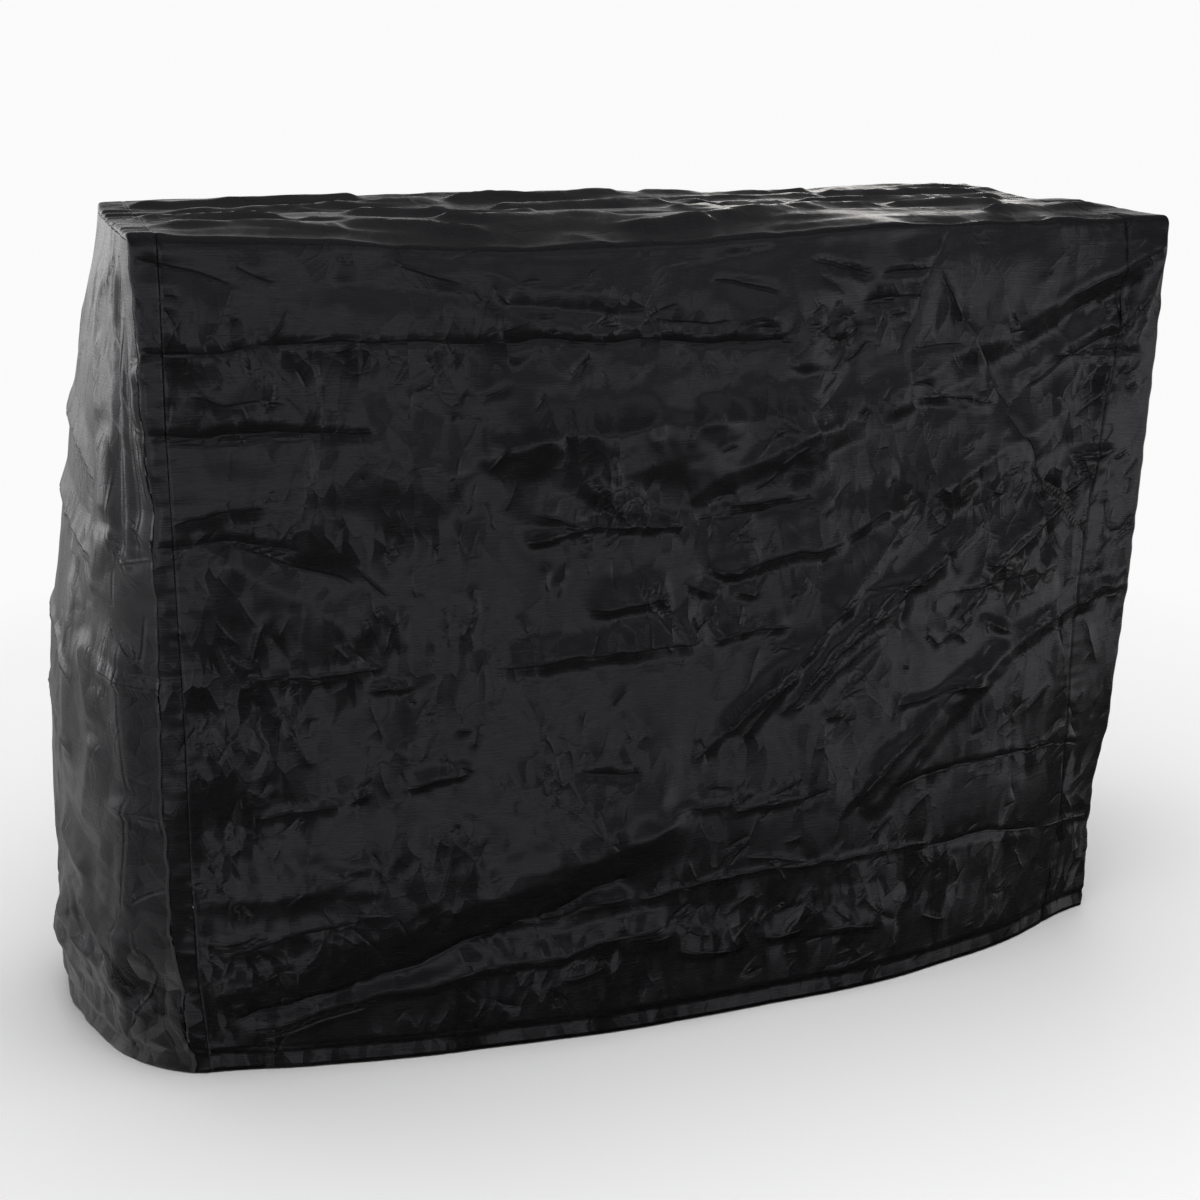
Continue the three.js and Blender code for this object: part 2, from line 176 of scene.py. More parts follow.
def seen_place(x, z):
    """Where a place on the front is seen on the straight plane behind its swell."""
    straight = (FOOT_DEPTH + (TOP_DEPTH - FOOT_DEPTH) * z / FACE) / 2
    depth = face_depth(-1.0, x, z)
    share = (depth - straight) / (-CAMERA[1] - depth)
    return x + share * (x - CAMERA[0]), z + share * (z - CAMERA[2])


# A fold is a line from (x0, z0) to (x1, z1) that bows by bow. out is its crest's height, below 0 for a trough.
# above and below are its flanks' widths: above is on the line's left. crisp is 1 for flat flanks that meet in
# a sharp edge, and 2 or more for a soft one.
Fold = namedtuple("Fold", "x0 z0 x1 z1 out above below bow crisp", defaults=(0, 1.1))
FRONT_FOLDS = [Fold(*row) for row in (
    # first packing crease, from the top down
    (-950, 1284, -440, 1301, -4, 9, 8, 3), (-450, 1301, 180, 1268, -4, 9, 9, 5),
    (-950, 1290, -500, 1300, 4, 90, 60), (-430, 1296, 160, 1264, -5, 40, 130, 4),
    # second
    (-950, 1166, -560, 1144, -4, 9, 9), (-900, 1150, -680, 1140, -4, 30, 60, 0, 1.2),
    (-640, 1158, -385, 1058, 9, 90, 110, -16, 1.0), (-385, 1058, -325, 1122, 5, 40, 20),
    (-420, 1112, 300, 1134, 24, 330, 150, 5, 1.0), (-350, 1122, -60, 1128, 6, 60, 110, 0, 1.2),
    (240, 1130, 450, 1140, 4, 50, 60), (425, 1142, 600, 1134, 8, 60, 18, 3, 1.0),
    # third
    (-970, 992, -690, 964, -4, 9, 10, 2), (-860, 985, -600, 880, -7, 30, 110, 10),
    (-850, 950, -580, 775, 8, 80, 90, 14), (-240, 955, -40, 942, 5, 22, 10, 3),
    (-100, 945, 0, 945, 5, 20, 9), (0, 948, 260, 972, -3, 8, 8), (60, 968, 210, 985, 5, 30, 16),
    (780, 1003, 890, 1012, 5, 14, 10),
    # fourth
    (-780, 742, -560, 728, 3, 14, 10), (-600, 694, -500, 688, 3.5, 12, 8),
    (-360, 714, 40, 716, 6, 46, 26, -3, 1.0), (40, 716, 220, 733, 5, 30, 12),
    (345, 790, 500, 786, 4, 12, 10), (540, 760, 770, 776, -5, 9, 34, 3), (610, 826, 690, 800, 5, 16, 12),
    (840, 715, 950, 742, 7, 30, 14),
    # fifth
    (-540, 498, -410, 512, 6, 30, 10, 3, 1.05), (-800, 478, -640, 486, 3, 12, 10),
    (-640, 486, -600, 505, 4, 14, 10), (-210, 488, -80, 474, -3.5, 8, 14),
    (440, 536, 660, 560, 6, 12, 10, 3, 1.05),
    # sixth and seventh
    (-20, 378, 110, 374, 3.5, 7, 12), (110, 358, 270, 366, 5, 26, 12, 4),
    (440, 352, 920, 394, -5, 10, 120, 8), (-430, 178, -90, 205, 4, 12, 16, 3),
    (-90, 205, 560, 218, 3, 10, 10, 3), (540, 214, 830, 208, -4, 8, 18), (820, 208, 950, 210, 3, 10, 10),
    # band under the top's edge
    (-640, 1404, -340, 1376, -6, 44, 40, -4, 1.5), (-360, 1356, -90, 1328, -7, 40, 36, 4, 1.4),
    (-930, 1440, -760, 1388, -5, 30, 36, 6, 1.2), (-560, 1446, -420, 1400, 4, 30, 30, 0, 1.2),
    (-60, 1410, 150, 1440, -6, 40, 40, 0, 1.4), (-120, 1325, 60, 1312, -4, 30, 20),
    (0, 1395, 160, 1350, -5, 20, 30),
    # upper left
    (-860, 1225, -700, 1200, 3, 30, 20, 0, 1.2), (-900, 1015, -730, 1040, 7, 80, 24, 6),
    (-402, 745, -398, 872, 3, 10, 8), (-282, 905, -262, 845, 4, 10, 8), (-562, 850, -540, 800, 4, 12, 10),
    (-664, 1000, -650, 1280, -2.5, 9, 9),
    # star of creases at the middle
    (-325, 932, -240, 955, 5, 16, 10), (-300, 990, -190, 960, 6, 40, 26),
    (-215, 1038, -125, 960, 8, 40, 22, 6, 1.05), (-150, 1010, -105, 935, 6, 24, 14, 0, 1.05),
    # patches beside the middle
    (30, 850, 320, 893, 9, 120, 22, -8, 1.05), (300, 893, 430, 955, 7, 60, 20, 0, 1.05),
    (-10, 830, 60, 800, 5, 26, 14, 0, 1.05), (40, 860, 110, 845, 5, 24, 14, 0, 1.05),
    (80, 815, 130, 790, 4, 20, 12), (-200, 800, -20, 808, 7, 60, 18, 0, 1.05),
    (-110, 850, -20, 725, 3, 9, 8), (-80, 850, 0, 740, 3, 9, 8),
    # pulls from the top right corner
    (960, 1436, 600, 1246, 7, 190, 60, 8, 1.2), (640, 1262, 260, 1098, 8, 80, 50, 6),
    (300, 1115, -20, 990, 8, 60, 40, 6), (800, 1120, 480, 940, 9, 150, 60, 8),
    (900, 1350, 430, 1120, -6, 50, 60, 6, 1.2), (470, 960, 290, 730, 8, 60, 30, 6),
    (350, 775, 110, 500, 7, 60, 26, 10), (450, 800, 190, 540, 7, 40, 26, 8),
    (540, 840, 250, 590, 6, 36, 26, 6), (700, 640, 400, 290, 9, 50, 36, 12),
    (890, 725, 690, 615, 7, 40, 26, 4), (690, 655, 615, 705, 4, 12, 10), (590, 655, 550, 680, 3, 10, 10),
    (945, 1420, 700, 1290, 4, 26, 22, 4, 1.0), (900, 1300, 640, 1160, 3.5, 44, 40, 6),
    (860, 1250, 620, 1130, -3, 24, 44, 5, 1.0), (930, 1330, 830, 1240, 2.5, 26, 20, 0, 1.0),
    (935, 1380, 900, 1210, 4, 16, 12, 0, 1.0), (880, 1010, 640, 820, 5, 44, 26, 10, 1.0),
    (800, 930, 560, 700, 5, 44, 26, 10, 1.0), (640, 600, 380, 330, 5, 40, 26, 10, 1.0),
    (560, 520, 330, 300, 4, 26, 18, 8, 1.0), (620, 900, 420, 760, 5, 30, 18, 6, 1.0),
    (300, 700, 60, 520, 5, 30, 20, 8, 1.0), (240, 640, 20, 470, 4, 24, 18, 8, 1.0),
    (420, 690, 250, 560, 4, 24, 16, 5, 1.0),
    # crossed creases of the upper right
    (200, 1424, 330, 1374, -4, 10, 9, -4), (330, 1374, 455, 1374, -4, 8, 9),
    (290, 1332, 440, 1326, -4, 30, 26, 3), (480, 1456, 380, 1225, -3, 8, 8), (460, 1380, 550, 1246, 3, 8, 8),
    (545, 1250, 850, 830, -2.4, 12, 12, -12, 1.0), (250, 1200, 300, 1290, 4, 14, 12),
    (740, 1206, 930, 1212, -3, 8, 9),
    # foot: the swell's underside, the ridge over the hem and its crumples
    (-900, 170, 40, 372, 18, 260, 85, -28, 1.35), (-860, 92, -80, 262, -10, 16, 40, -22, 1.2),
    (-830, 66, -300, 106, 8, 34, 20, 5), (-330, 106, -20, 130, 9, 44, 22, 0, 1.0),
    (-130, 108, 0, 96, 12, 70, 26, 0, 1.0), (-10, 62, 150, 54, 14, 95, 18, 0, 1.0),
    (180, 64, 300, 58, 11, 60, 16, 0, 1.0), (300, 52, 470, 48, 14, 100, 16, 0, 1.0),
    (-250, 50, -140, 60, 5, 40, 12),
    # lower left
    (-900, 330, -640, 318, 6, 90, 40, 0, 1.2), (-700, 400, -600, 250, 5, 40, 40, 0, 1.2),
    (-880, 235, -620, 262, 5, 60, 30, 0, 1.2), (-900, 152, -700, 178, 5, 30, 24),
)]
# Thin creases on the front: x0, z0, x1, z1 and out, with their flanks' widths
THIN_FLANKS = (11, 9)
THIN_CREASES = (
    # left of the middle
    (-885, 1368, -860, 1308, -3), (-660, 1256, -668, 1160, 3), (-675, 1142, -684, 1006, 3),
    (-500, 1228, -516, 1158, 3), (-395, 1056, -420, 990, 2), (-420, 990, -434, 926, 2),
    (-398, 1394, -374, 1360, 3), (-360, 1394, -328, 1356, 3), (-205, 1268, -242, 1212, -3),
    (-330, 1236, -386, 1178, -2), (-270, 1202, -312, 1162, -2), (-398, 1212, -432, 1178, -2),
    (-722, 1218, -742, 1152, 3), (-770, 1210, -760, 1166, 2), (-840, 1000, -872, 975, 3),
    (-588, 872, -568, 818, 3), (-534, 848, -566, 752, 4), (-394, 878, -416, 768, 4),
    (-234, 898, -252, 826, 4), (-204, 905, -190, 860, 2), (-752, 862, -786, 742, 3),
    (-716, 852, -742, 790, 2), (-470, 772, -466, 724, 2), (-738, 742, -700, 722, 3),
    (-700, 722, -640, 724, 2), (-650, 786, -622, 748, 3), (-622, 748, -600, 702, 3),
    (-586, 706, -504, 690, 3), (-524, 672, -500, 667, 2), (-740, 692, -700, 556, 4),
    (-870, 664, -850, 596, 2), (-838, 690, -818, 610, 3), (-802, 702, -760, 588, 3),
    (-900, 745, -878, 560, 2), (-860, 700, -866, 520, 2), (-600, 692, -570, 598, 3),
    (-596, 602, -606, 528, 2), (-582, 562, -558, 486, 3), (-526, 604, -530, 546, 2),
    (-624, 492, -598, 512, 4), (-390, 612, -402, 556, 3), (-442, 606, -402, 600, 2),
    (-440, 538, -402, 514, 3), (-270, 622, -276, 518, 2), (-190, 604, -200, 540, 2),
    (-662, 366, -640, 344, 2), (-642, 348, -608, 370, 3), (-692, 328, -668, 238, 3),
    (-130, 372, -124, 280, -3), (-266, 168, -228, 102, 4), (-276, 152, -282, 106, 3),
    (-452, 82, -398, 28, -2), (-372, 42, -308, 0, -2), (-820, 44, -600, 62, 3), (-900, 258, -780, 262, 2),
    (-640, 268, -560, 262, 2), (-846, 460, -826, 380, 2), (-320, 930, -220, 958, 4),
    (-208, 1044, -150, 1008, 4), (-150, 1008, -112, 945, 4), (-100, 880, -60, 790, 3),
    (-60, 856, -20, 770, 3), (-330, 806, -310, 770, 2),
    # right of the middle
    (210, 1396, 272, 1344, -2), (400, 1236, 534, 1236, -2), (490, 1142, 604, 1132, -4),
    (270, 1198, 232, 1156, 2), (300, 1332, 392, 1323, -3), (232, 1272, 290, 1250, -3),
    (290, 1250, 304, 1296, -3), (255, 1300, 240, 1240, -2), (92, 1300, 146, 1294, -3),
    (612, 1294, 634, 1268, -3), (600, 1290, 618, 1262, 2), (884, 1356, 856, 1236, -4),
    (840, 1362, 862, 1200, -3), (700, 1210, 852, 1200, 2), (770, 1022, 904, 1014, 3),
    (800, 1018, 842, 958, 4), (770, 1016, 806, 966, 3), (690, 1002, 830, 848, 3), (722, 986, 822, 898, -3),
    (704, 968, 782, 800, -4), (536, 942, 596, 966, 4), (596, 966, 654, 956, 3), (548, 930, 580, 950, 3),
    (514, 862, 560, 800, -3), (528, 842, 548, 856, 3), (478, 962, 392, 934, 3), (388, 976, 424, 1002, -3),
    (430, 960, 456, 984, 3), (600, 802, 680, 736, 3), (650, 806, 706, 788, 4), (706, 788, 740, 730, 3),
    (502, 682, 530, 644, 3), (550, 692, 592, 648, 3), (562, 682, 524, 652, 2), (612, 712, 642, 660, 3),
    (640, 690, 702, 654, 3), (288, 534, 342, 520, 3), (300, 520, 340, 538, 2), (722, 482, 732, 398, -3),
    (732, 398, 752, 262, -3), (730, 396, 862, 392, 2), (852, 492, 892, 398, -3), (176, 238, 242, 178, 3),
    (128, 246, 284, 224, 2), (398, 122, 482, 50, 3), (418, 102, 502, 32, -3), (440, 130, 470, 60, 2),
    (500, 104, 496, 4, -3), (540, 202, 572, 166, 2), (20, 818, 62, 800, 4), (40, 862, 84, 838, 3),
    (84, 838, 112, 860, 3), (60, 790, 20, 740, 3), (110, 596, 150, 700, 2), (150, 560, 196, 660, 2),
    (280, 610, 340, 700, 2), (330, 560, 420, 650, 2), (250, 410, 180, 384, 3), (120, 372, 160, 398, 3),
    (350, 330, 330, 250, 2), (10, 110, 60, 96, 3), (90, 120, 120, 60, 3), (330, 100, 380, 60, 3),
    (600, 200, 616, 96, 3), (616, 180, 640, 110, 2), (700, 180, 716, 60, 2), (760, 172, 800, 100, 2),
    (550, 40, 620, 20, 3), (860, 300, 900, 210, 2), (860, 680, 920, 560, 2), (800, 700, 830, 590, -3),
    (900, 900, 880, 820, 2),
)
FRONT_FOLDS += [Fold(*row, *THIN_FLANKS, crisp=1.0) for row in THIN_CREASES]

# How far a fold's ends taper: this much, more with its wider flank, and at most a share of its length
FOLD_TAPER = 30
TAPER_BY_FLANK = 0.22
MOST_TAPER = 0.35
CREST_SOFTNESS = 1.6

# How far from a crest its sharp line is followed, and the flank from which a fold has none
LINE_REACH = 15
LINE_FADE = 5
FAR = 1000
BROAD_FLANK = 32
LEAST_END = 0.02
FULL_STRENGTH = 5


def across_fold(fold, x, z):
    """How far aside of a fold's crest places lie, and how its ends taper there."""
    run_x, run_z = fold.x1 - fold.x0, fold.z1 - fold.z0
    length = math.hypot(run_x, run_z)
    run_x, run_z = run_x / length, run_z / length
    reached = (x - fold.x0) * run_x + (z - fold.z0) * run_z
    share = np.clip(reached / length, 0, 1)
    left = 1 if run_x >= 0 else -1
    aside = left * ((z - fold.z0) * run_x - (x - fold.x0) * run_z) - fold.bow * 4 * share * (1 - share)
    taper = min(FOLD_TAPER + TAPER_BY_FLANK * max(fold.above, fold.below), MOST_TAPER * length) / length
    return aside, smooth(share / taper) * smooth((1 - share) / taper)


def fold_height(fold, x, z):
    """How far one fold lifts the cloth at places of its face."""
    aside, ends = across_fold(fold, x, z)
    away = np.sqrt(aside**2 + CREST_SOFTNESS**2) - CREST_SOFTNESS
    flank = np.clip(1 - away / np.where(aside > 0, fold.above, fold.below), 0, 1) ** fold.crisp
    return fold.out * flank * ends


def crest_lines(folds, x, z, level):
    """Distance aside of the nearest sharp crest and its strength, among the level folds or the others."""
    nearest = np.full(x.shape, float(FAR))
    strength = np.zeros(x.shape)
    for fold in folds:
        is_level = abs(fold.z1 - fold.z0) < 0.5 * abs(fold.x1 - fold.x0)
        if is_level != level or min(fold.above, fold.below) >= BROAD_FLANK:
            continue
        aside, ends = across_fold(fold, x, z)
        closer = (np.abs(aside) < np.abs(nearest)) & (ends > LEAST_END)
        nearest = np.where(closer, aside, nearest)
        share = min(math.sqrt(abs(fold.out) / FULL_STRENGTH), 1)
        strength = np.where(closer, ends * share * math.copysign(1, fold.out), strength)
    return nearest, strength * smooth((LINE_REACH - np.abs(nearest)) / LINE_FADE)


def folds_height(folds, x, z):
    return sum(fold_height(fold, x, z) for fold in folds)


def cells(low, high, count):
    """The first of a raster's cells between two places, and the one after the last."""
    return int(max(low / CELL, 0)), int(min(high / CELL + 2, count))


def flat_places(shape):
    return np.meshgrid(np.arange(shape[1]) * CELL, np.arange(shape[0]) * CELL)


def facet_map(width, length, spacing, seed):
    """Heights from -1 to 1 of flat facets about one spacing across, on a raster of a flat pattern."""
    rng = np.random.default_rng(seed)
    u, v = np.meshgrid(np.arange(-2, width / spacing + 3), np.arange(-2, length / spacing + 3))
    points = (np.stack((u, v), -1) + rng.uniform(-0.42, 0.42, u.shape + (2,))).reshape(-1, 2) * spacing
    heights = rng.uniform(-1, 1, len(points))
    made = delaunay_2d_cdt([Vector(p) for p in points], [], [], 0, 1e-5)
    corners = np.array([p[:] for p in made[0]])
    heights = heights[[origin[0] for origin in made[3]]]
    raster = np.zeros((int(length / CELL) + 1, int(width / CELL) + 1))
    for triangle in made[2]:
        (ax, ay), (bx, by), (cx, cy) = corners[list(triangle)]
        ha, hb, hc = heights[list(triangle)]
        area = (bx - ax) * (cy - ay) - (cx - ax) * (by - ay)
        if abs(area) < 1e-6:
            continue
        u0, u1 = cells(min(ax, bx, cx), max(ax, bx, cx), raster.shape[1])
        v0, v1 = cells(min(ay, by, cy), max(ay, by, cy), raster.shape[0])
        if u0 >= u1 or v0 >= v1:
            continue
        gu, gv = np.meshgrid(np.arange(u0, u1) * CELL, np.arange(v0, v1) * CELL)
        to_b = ((gu - ax) * (cy - ay) - (cx - ax) * (gv - ay)) / area
        to_c = ((bx - ax) * (gv - ay) - (gu - ax) * (by - ay)) / area
        inside = (to_b >= -1e-9) & (to_c >= -1e-9) & (to_b + to_c <= 1 + 1e-9)
        raster[v0:v1, u0:u1][inside] = (ha + to_b * (hb - ha) + to_c * (hc - ha))[inside]
    return raster


def blur(raster, times=1):
    """Rounds a raster's creases off by about a cell each time."""
    for _ in range(times):
        wide = np.pad(raster, 1, mode="edge")
        raster = (wide[:-2, 1:-1] + 2 * wide[1:-1, 1:-1] + wide[2:, 1:-1]) / 4
        wide = np.pad(raster, 1, mode="edge")
        raster = (wide[1:-1, :-2] + 2 * wide[1:-1, 1:-1] + wide[1:-1, 2:]) / 4
    return raster


def sample(raster, u, v):
    """A raster's value between its cells."""
    u = np.clip(u / CELL, 0, raster.shape[1] - 1.001)
    v = np.clip(v / CELL, 0, raster.shape[0] - 1.001)
    i, j = u.astype(int), v.astype(int)
    fu, fv = u - i, v - j
    low = raster[j, i] * (1 - fu) + raster[j, i + 1] * fu
    high = raster[j + 1, i] * (1 - fu) + raster[j + 1, i + 1] * fu
    return low * (1 - fv) + high * fv


def crinkle_map(shape, count, weight, turn, sizes, seed):
    """Short random creases: their relief, and the distance aside of the nearest one and how strong it is.

    weight(u, v) is how likely one is, turn(u, v) its usual angle in degrees from the length.
    """
    rng = np.random.default_rng(seed)
    raster = np.zeros(shape)
    nearest = np.full(shape, float(FAR))
    strength = np.zeros(shape)
    height, width = shape
    made = 0
    while made < count:
        u, v = rng.uniform(0, width * CELL), rng.uniform(0, height * CELL)
        if rng.uniform() > weight(u, v):
            continue
        made += 1
        angle = math.radians(turn(u, v) + rng.normal(0, 24))
        length = rng.uniform(*sizes["length"])
        flank_a, flank_b = rng.uniform(*sizes["flank"], 2)
        out = rng.uniform(*sizes["out"]) * rng.choice((-1, 1))
        bend = rng.uniform(-0.12, 0.12) * length
        reach = length / 2 + max(flank_a, flank_b)
        i0, i1 = cells(u - reach, u + reach, width)
        j0, j1 = cells(v - reach, v + reach, height)
        gu, gv = np.meshgrid(np.arange(i0, i1) * CELL - u, np.arange(j0, j1) * CELL - v)
        run = (gv * math.cos(angle) + gu * math.sin(angle)) / (length / 2)
        aside = gu * math.cos(angle) - gv * math.sin(angle) - bend * (1 - run**2)
        flank = np.clip(1 - np.abs(aside) / np.where(aside > 0, flank_a, flank_b), 0, 1) ** 1.2
        ends = smooth((1 - np.abs(run)) * 1.6)
        raster[j0:j1, i0:i1] += out * flank * ends
        closer = (np.abs(aside) < np.abs(nearest[j0:j1, i0:i1])) & (ends > LEAST_END)
        nearest[j0:j1, i0:i1][closer] = aside[closer]
        strength[j0:j1, i0:i1][closer] = (out / 2 * ends)[closer]
    return raster, nearest, strength * smooth((LINE_REACH - np.abs(nearest)) / LINE_FADE)


# Heights of the packing creases, whose fine pinches and crumples follow them, and how strong they are
PACKING_HEIGHTS = (1290, 1145, 955, 728, 495, 375, 210)
PACKING_REACH = 40
MOST_CRUMPLED = 1.7

# Where the front is crumpled most: places, reaches and shares added to the fine relief
CRUMPLES = {
    "x": (-880, -620, -150, 40, 440, 640, 880, 880, -200, 250, -820, 300, 480, 700, -800, -500, 520, -250),
    "z": (160, 820, 985, 810, 960, 980, 760, 1280, 90, 80, 640, 1300, 90, 780, 1250, 650, 700, 1330),
    "reach_x": (150, 130, 130, 140, 120, 120, 80, 90, 240, 260, 150, 90, 200, 120, 110, 90, 120, 160),
    "reach_z": (240, 140, 90, 80, 60, 60, 420, 160, 90, 80, 240, 80, 80, 60, 80, 70, 60, 50),
    "share": (1.0, 0.8, 1.1, 1.1, 0.9, 0.9, 0.8, 0.9, 1.0, 1.0, 0.8, 0.8, 0.8, 0.9, 0.5, 0.8, 0.8, 0.6),
}


def crumpling(x, v):
    """Share from about 0.3 to 2 of the fine relief at places of the strip's flat pattern."""
    from_hem = off_hem(v)
    seen_x, seen_z = seen_place(x, np.clip(from_hem, 0, FACE))
    seen_z = seen_z + np.maximum(from_hem - FACE, 0)
    total = 0.3 + 0 * x
    for height in PACKING_HEIGHTS:
        total = total + 0.6 * np.exp(-(((seen_z - height) / PACKING_REACH) ** 2))
    for at_x, at_z, reach_x, reach_z, share in zip(*CRUMPLES.values()):
        total = total + share * np.exp(-(((seen_x - at_x) / reach_x) ** 2 + ((seen_z - at_z) / reach_z) ** 2))
    return np.minimum(total + 0.5 * np.exp(-(from_hem / 60) ** 2), MOST_CRUMPLED)


STRIP_MARGIN = TOP_WIDTH / 2 + 60

# The corner that the pleats of the front's right half run out of, and where they match the upright ones
PULL_CORNER = (960, 1440)
PULL_ANGLE = 0.914
PULL_LENGTH = 1912
PULL_WIDTH = 900


def grain(x, v):
    """Places across and along the fan of pleats from the top right corner, and its share."""
    away_x, away_z = PULL_CORNER[0] - x, PULL_CORNER[1] - v
    across = PULL_WIDTH * (PULL_ANGLE - np.arctan2(away_x, np.maximum(away_z, 60)))
    away = np.hypot(away_x, away_z)
    share = smooth((x + 250) / 500) * smooth((FACE - v) / 200) * smooth((away - 300) / 400)
    return across, PULL_LENGTH - away, share


def strip_maps():
    """Rasters of the strip's fine relief, its folds' uneven height and how they wander."""
    width, length = 2 * STRIP_MARGIN, STRIP_LENGTH
    coarse = blur(facet_map(width, length, 190, 1), 3)
    middle = facet_map(width, length, 78, 2)
    fine = blur(facet_map(width, length, 34, 3), 1)
    u, v = flat_places(coarse.shape)
    share = crumpling(u - STRIP_MARGIN, v)

    def weight(at_u, at_v):
        i, j = int(at_u / CELL), int(at_v / CELL)
        return float(share[min(j, share.shape[0] - 1), min(i, share.shape[1] - 1)]) / 2

    def turn(at_u, at_v):
        if FACE - 150 < at_v < STRIP_LENGTH - FACE + 150:
            return 80
        if at_v > FACE or at_u < STRIP_MARGIN:
            return 0
        return 48

    sizes = {"length": (20, 90), "flank": (6, 18), "out": (0.5, 2.0)}
    short, line, line_strength = crinkle_map(coarse.shape, 1500, weight, turn, sizes, 4)
    return {
        "coarse": coarse, "middle": middle, "fine": fine, "short": short, "share": share,
        "line": line, "line_strength": line_strength,
        "wander_x": 10 * facet_map(width, length, 82, 5) + 3.5 * facet_map(width, length, 30, 6),
        "wander_v": 8 * facet_map(width, length, 82, 7) + 3.5 * facet_map(width, length, 30, 8),
        "uneven": 0.95 + 0.4 * facet_map(width, length, 120, 9) + 0.25 * facet_map(width, length, 46, 10),
    }


strip_rasters = strip_maps()


# Half the rise of the cloth's flat facets, from large to small, and of the top's long ones
COARSE_FACETS = 2.6
MIDDLE_FACETS = 2.0
FINE_FACETS = 1.1
TOP_FACETS = 4.5
FINE_TOP_FACETS = 2.4

# How far the shoulder sinks, its width, and how far above the hem the cloth is calm
SHOULDER_SINK = 9
SHOULDER_WIDTH = 60
HEM_CALM = 70


def on_strip(name, x, v):
    return sample(strip_rasters[name], x + STRIP_MARGIN, v)


def wandered(x, v):
    return x + on_strip("wander_x", x, v), v + on_strip("wander_v", x, v)


def near_top(from_hem):
    """Share of a face's folds at distances from its hem: none on the top."""
    return smooth((FACE + 8 - from_hem) / 36)


# Folds on the top, in its own plane: the front is on the lower side
TOP_FOLDS = [Fold(*row) for row in (
    (-900, -50, -640, -150, 12, 50, 44, 6), (-660, -150, -330, -300, 11, 60, 40, 8),
    (-840, 70, -600, 90, 9, 60, 44), (-640, 60, -300, 210, 12, 60, 50), (-300, 206, 120, 300, 11, 50, 50, 8),
    (-900, 220, -420, 296, 9, 50, 50), (-560, -60, -180, -90, 11, 50, 46, 8),
    (-420, -190, -60, -150, 9, 50, 40, 6), (-260, 40, 120, 60, 11, 56, 50, 6),
    (-110, -296, 100, -226, 13, 60, 40, 4), (90, -232, 290, -120, 12, 60, 44),
    (270, -122, 520, -58, 12, 60, 50, 4), (500, -58, 760, -120, 12, 60, 50, 4),
    (180, 20, 60, -60, 9, 40, 40), (180, 20, 380, 60, 10, 44, 44), (180, 20, 150, 150, 8, 36, 36),
    (380, 60, 860, 40, 11, 50, 50, 10), (160, 170, 530, 205, 10, 50, 50),
    (530, 205, 900, 140, 10, 50, 50, 8), (530, 205, 640, 320, 8, 40, 40), (120, 310, 560, 290, 9, 44, 44, 6),
    (620, -250, 920, -190, 11, 50, 40, 6), (-880, -220, -560, -256, 9, 50, 40, 6),
)]
BACK_FOLDS = [Fold(*row) for row in (
    (-950, 1284, 950, 1262, -6, 40, 40, 6, 1.3), (-950, 1135, 950, 1142, 10, 110, 30, -6),
    (-950, 950, 950, 964, 8, 75, 30, 8, 1.2), (-950, 722, 950, 732, 9, 70, 24, -5, 1.2),
    (-950, 488, 950, 496, 8, 60, 30, 5, 1.2), (-950, 212, 950, 206, 9, 60, 30, 5, 1.2),
    (900, 1420, 260, 760, 14, 110, 90, 20, 1.2), (-900, 1420, -360, 620, 14, 110, 90, 20, 1.2),
)]


# The stitched line that the hem flares out below: its height, its depth and its flanks' widths
HEM_LINE = 34
HEM_GROOVE = 6.5
HEM_ABOVE = 12
HEM_BELOW = 36


def hem_relief(height, wander):
    """The groove over the hem at heights above the foot."""
    aside = height + 0.3 * wander - HEM_LINE
    return -HEM_GROOVE * np.clip(1 - np.abs(aside) / np.where(aside > 0, HEM_ABOVE, HEM_BELOW), 0, 1)


def top_facets(x, v):
    """The long flat facets that the top breaks up into."""
    middle, fine = on_strip("middle", 0.34 * x, 1.4 * v - 700), on_strip("fine", 0.28 * x, v)
    return TOP_FACETS * middle + FINE_TOP_FACETS * fine


def face_facets(x, v):
    """The flat facets of the front and back, which run along the fan of pleats on the front's right half."""
    across, down, fan = grain(x, v)
    crumple = on_strip("share", x, v)
    middle = on_strip("middle", x, v * 0.6) * (1 - fan) + on_strip("middle", across, down * 0.6) * fan
    fine = on_strip("fine", x, v * 0.55) * (1 - fan) + on_strip("fine", across, down * 0.55) * fan
    facets = MIDDLE_FACETS * (0.5 + 0.5 * crumple) * middle + FINE_FACETS * crumple * fine
    return facets + on_strip("short", x, v)


def shoulder(x, v, from_hem):
    """The lumps along the top's edges, and how far the front one sinks."""
    by_edge = np.exp(-(((from_hem - TOP_START) / SHOULDER_WIDTH) ** 2))
    at_front = smooth(0.5 + (STRIP_LENGTH / 2 - v) / 200)
    lumps = 7 * on_strip("middle", 0.8 * x, 0.5 * v + 900) + 4 * on_strip("fine", 0.7 * x, 0.35 * v + 600)
    uneven = 1 + 0.8 * on_strip("middle", 0.4 * x, 0 * v + 500)
    sunk = at_front * smooth((TOP_WIDTH / 2 - np.abs(x)) / 240) * uneven
    return by_edge * lumps * (0.4 + 0.6 * at_front), SHOULDER_SINK * by_edge * sunk


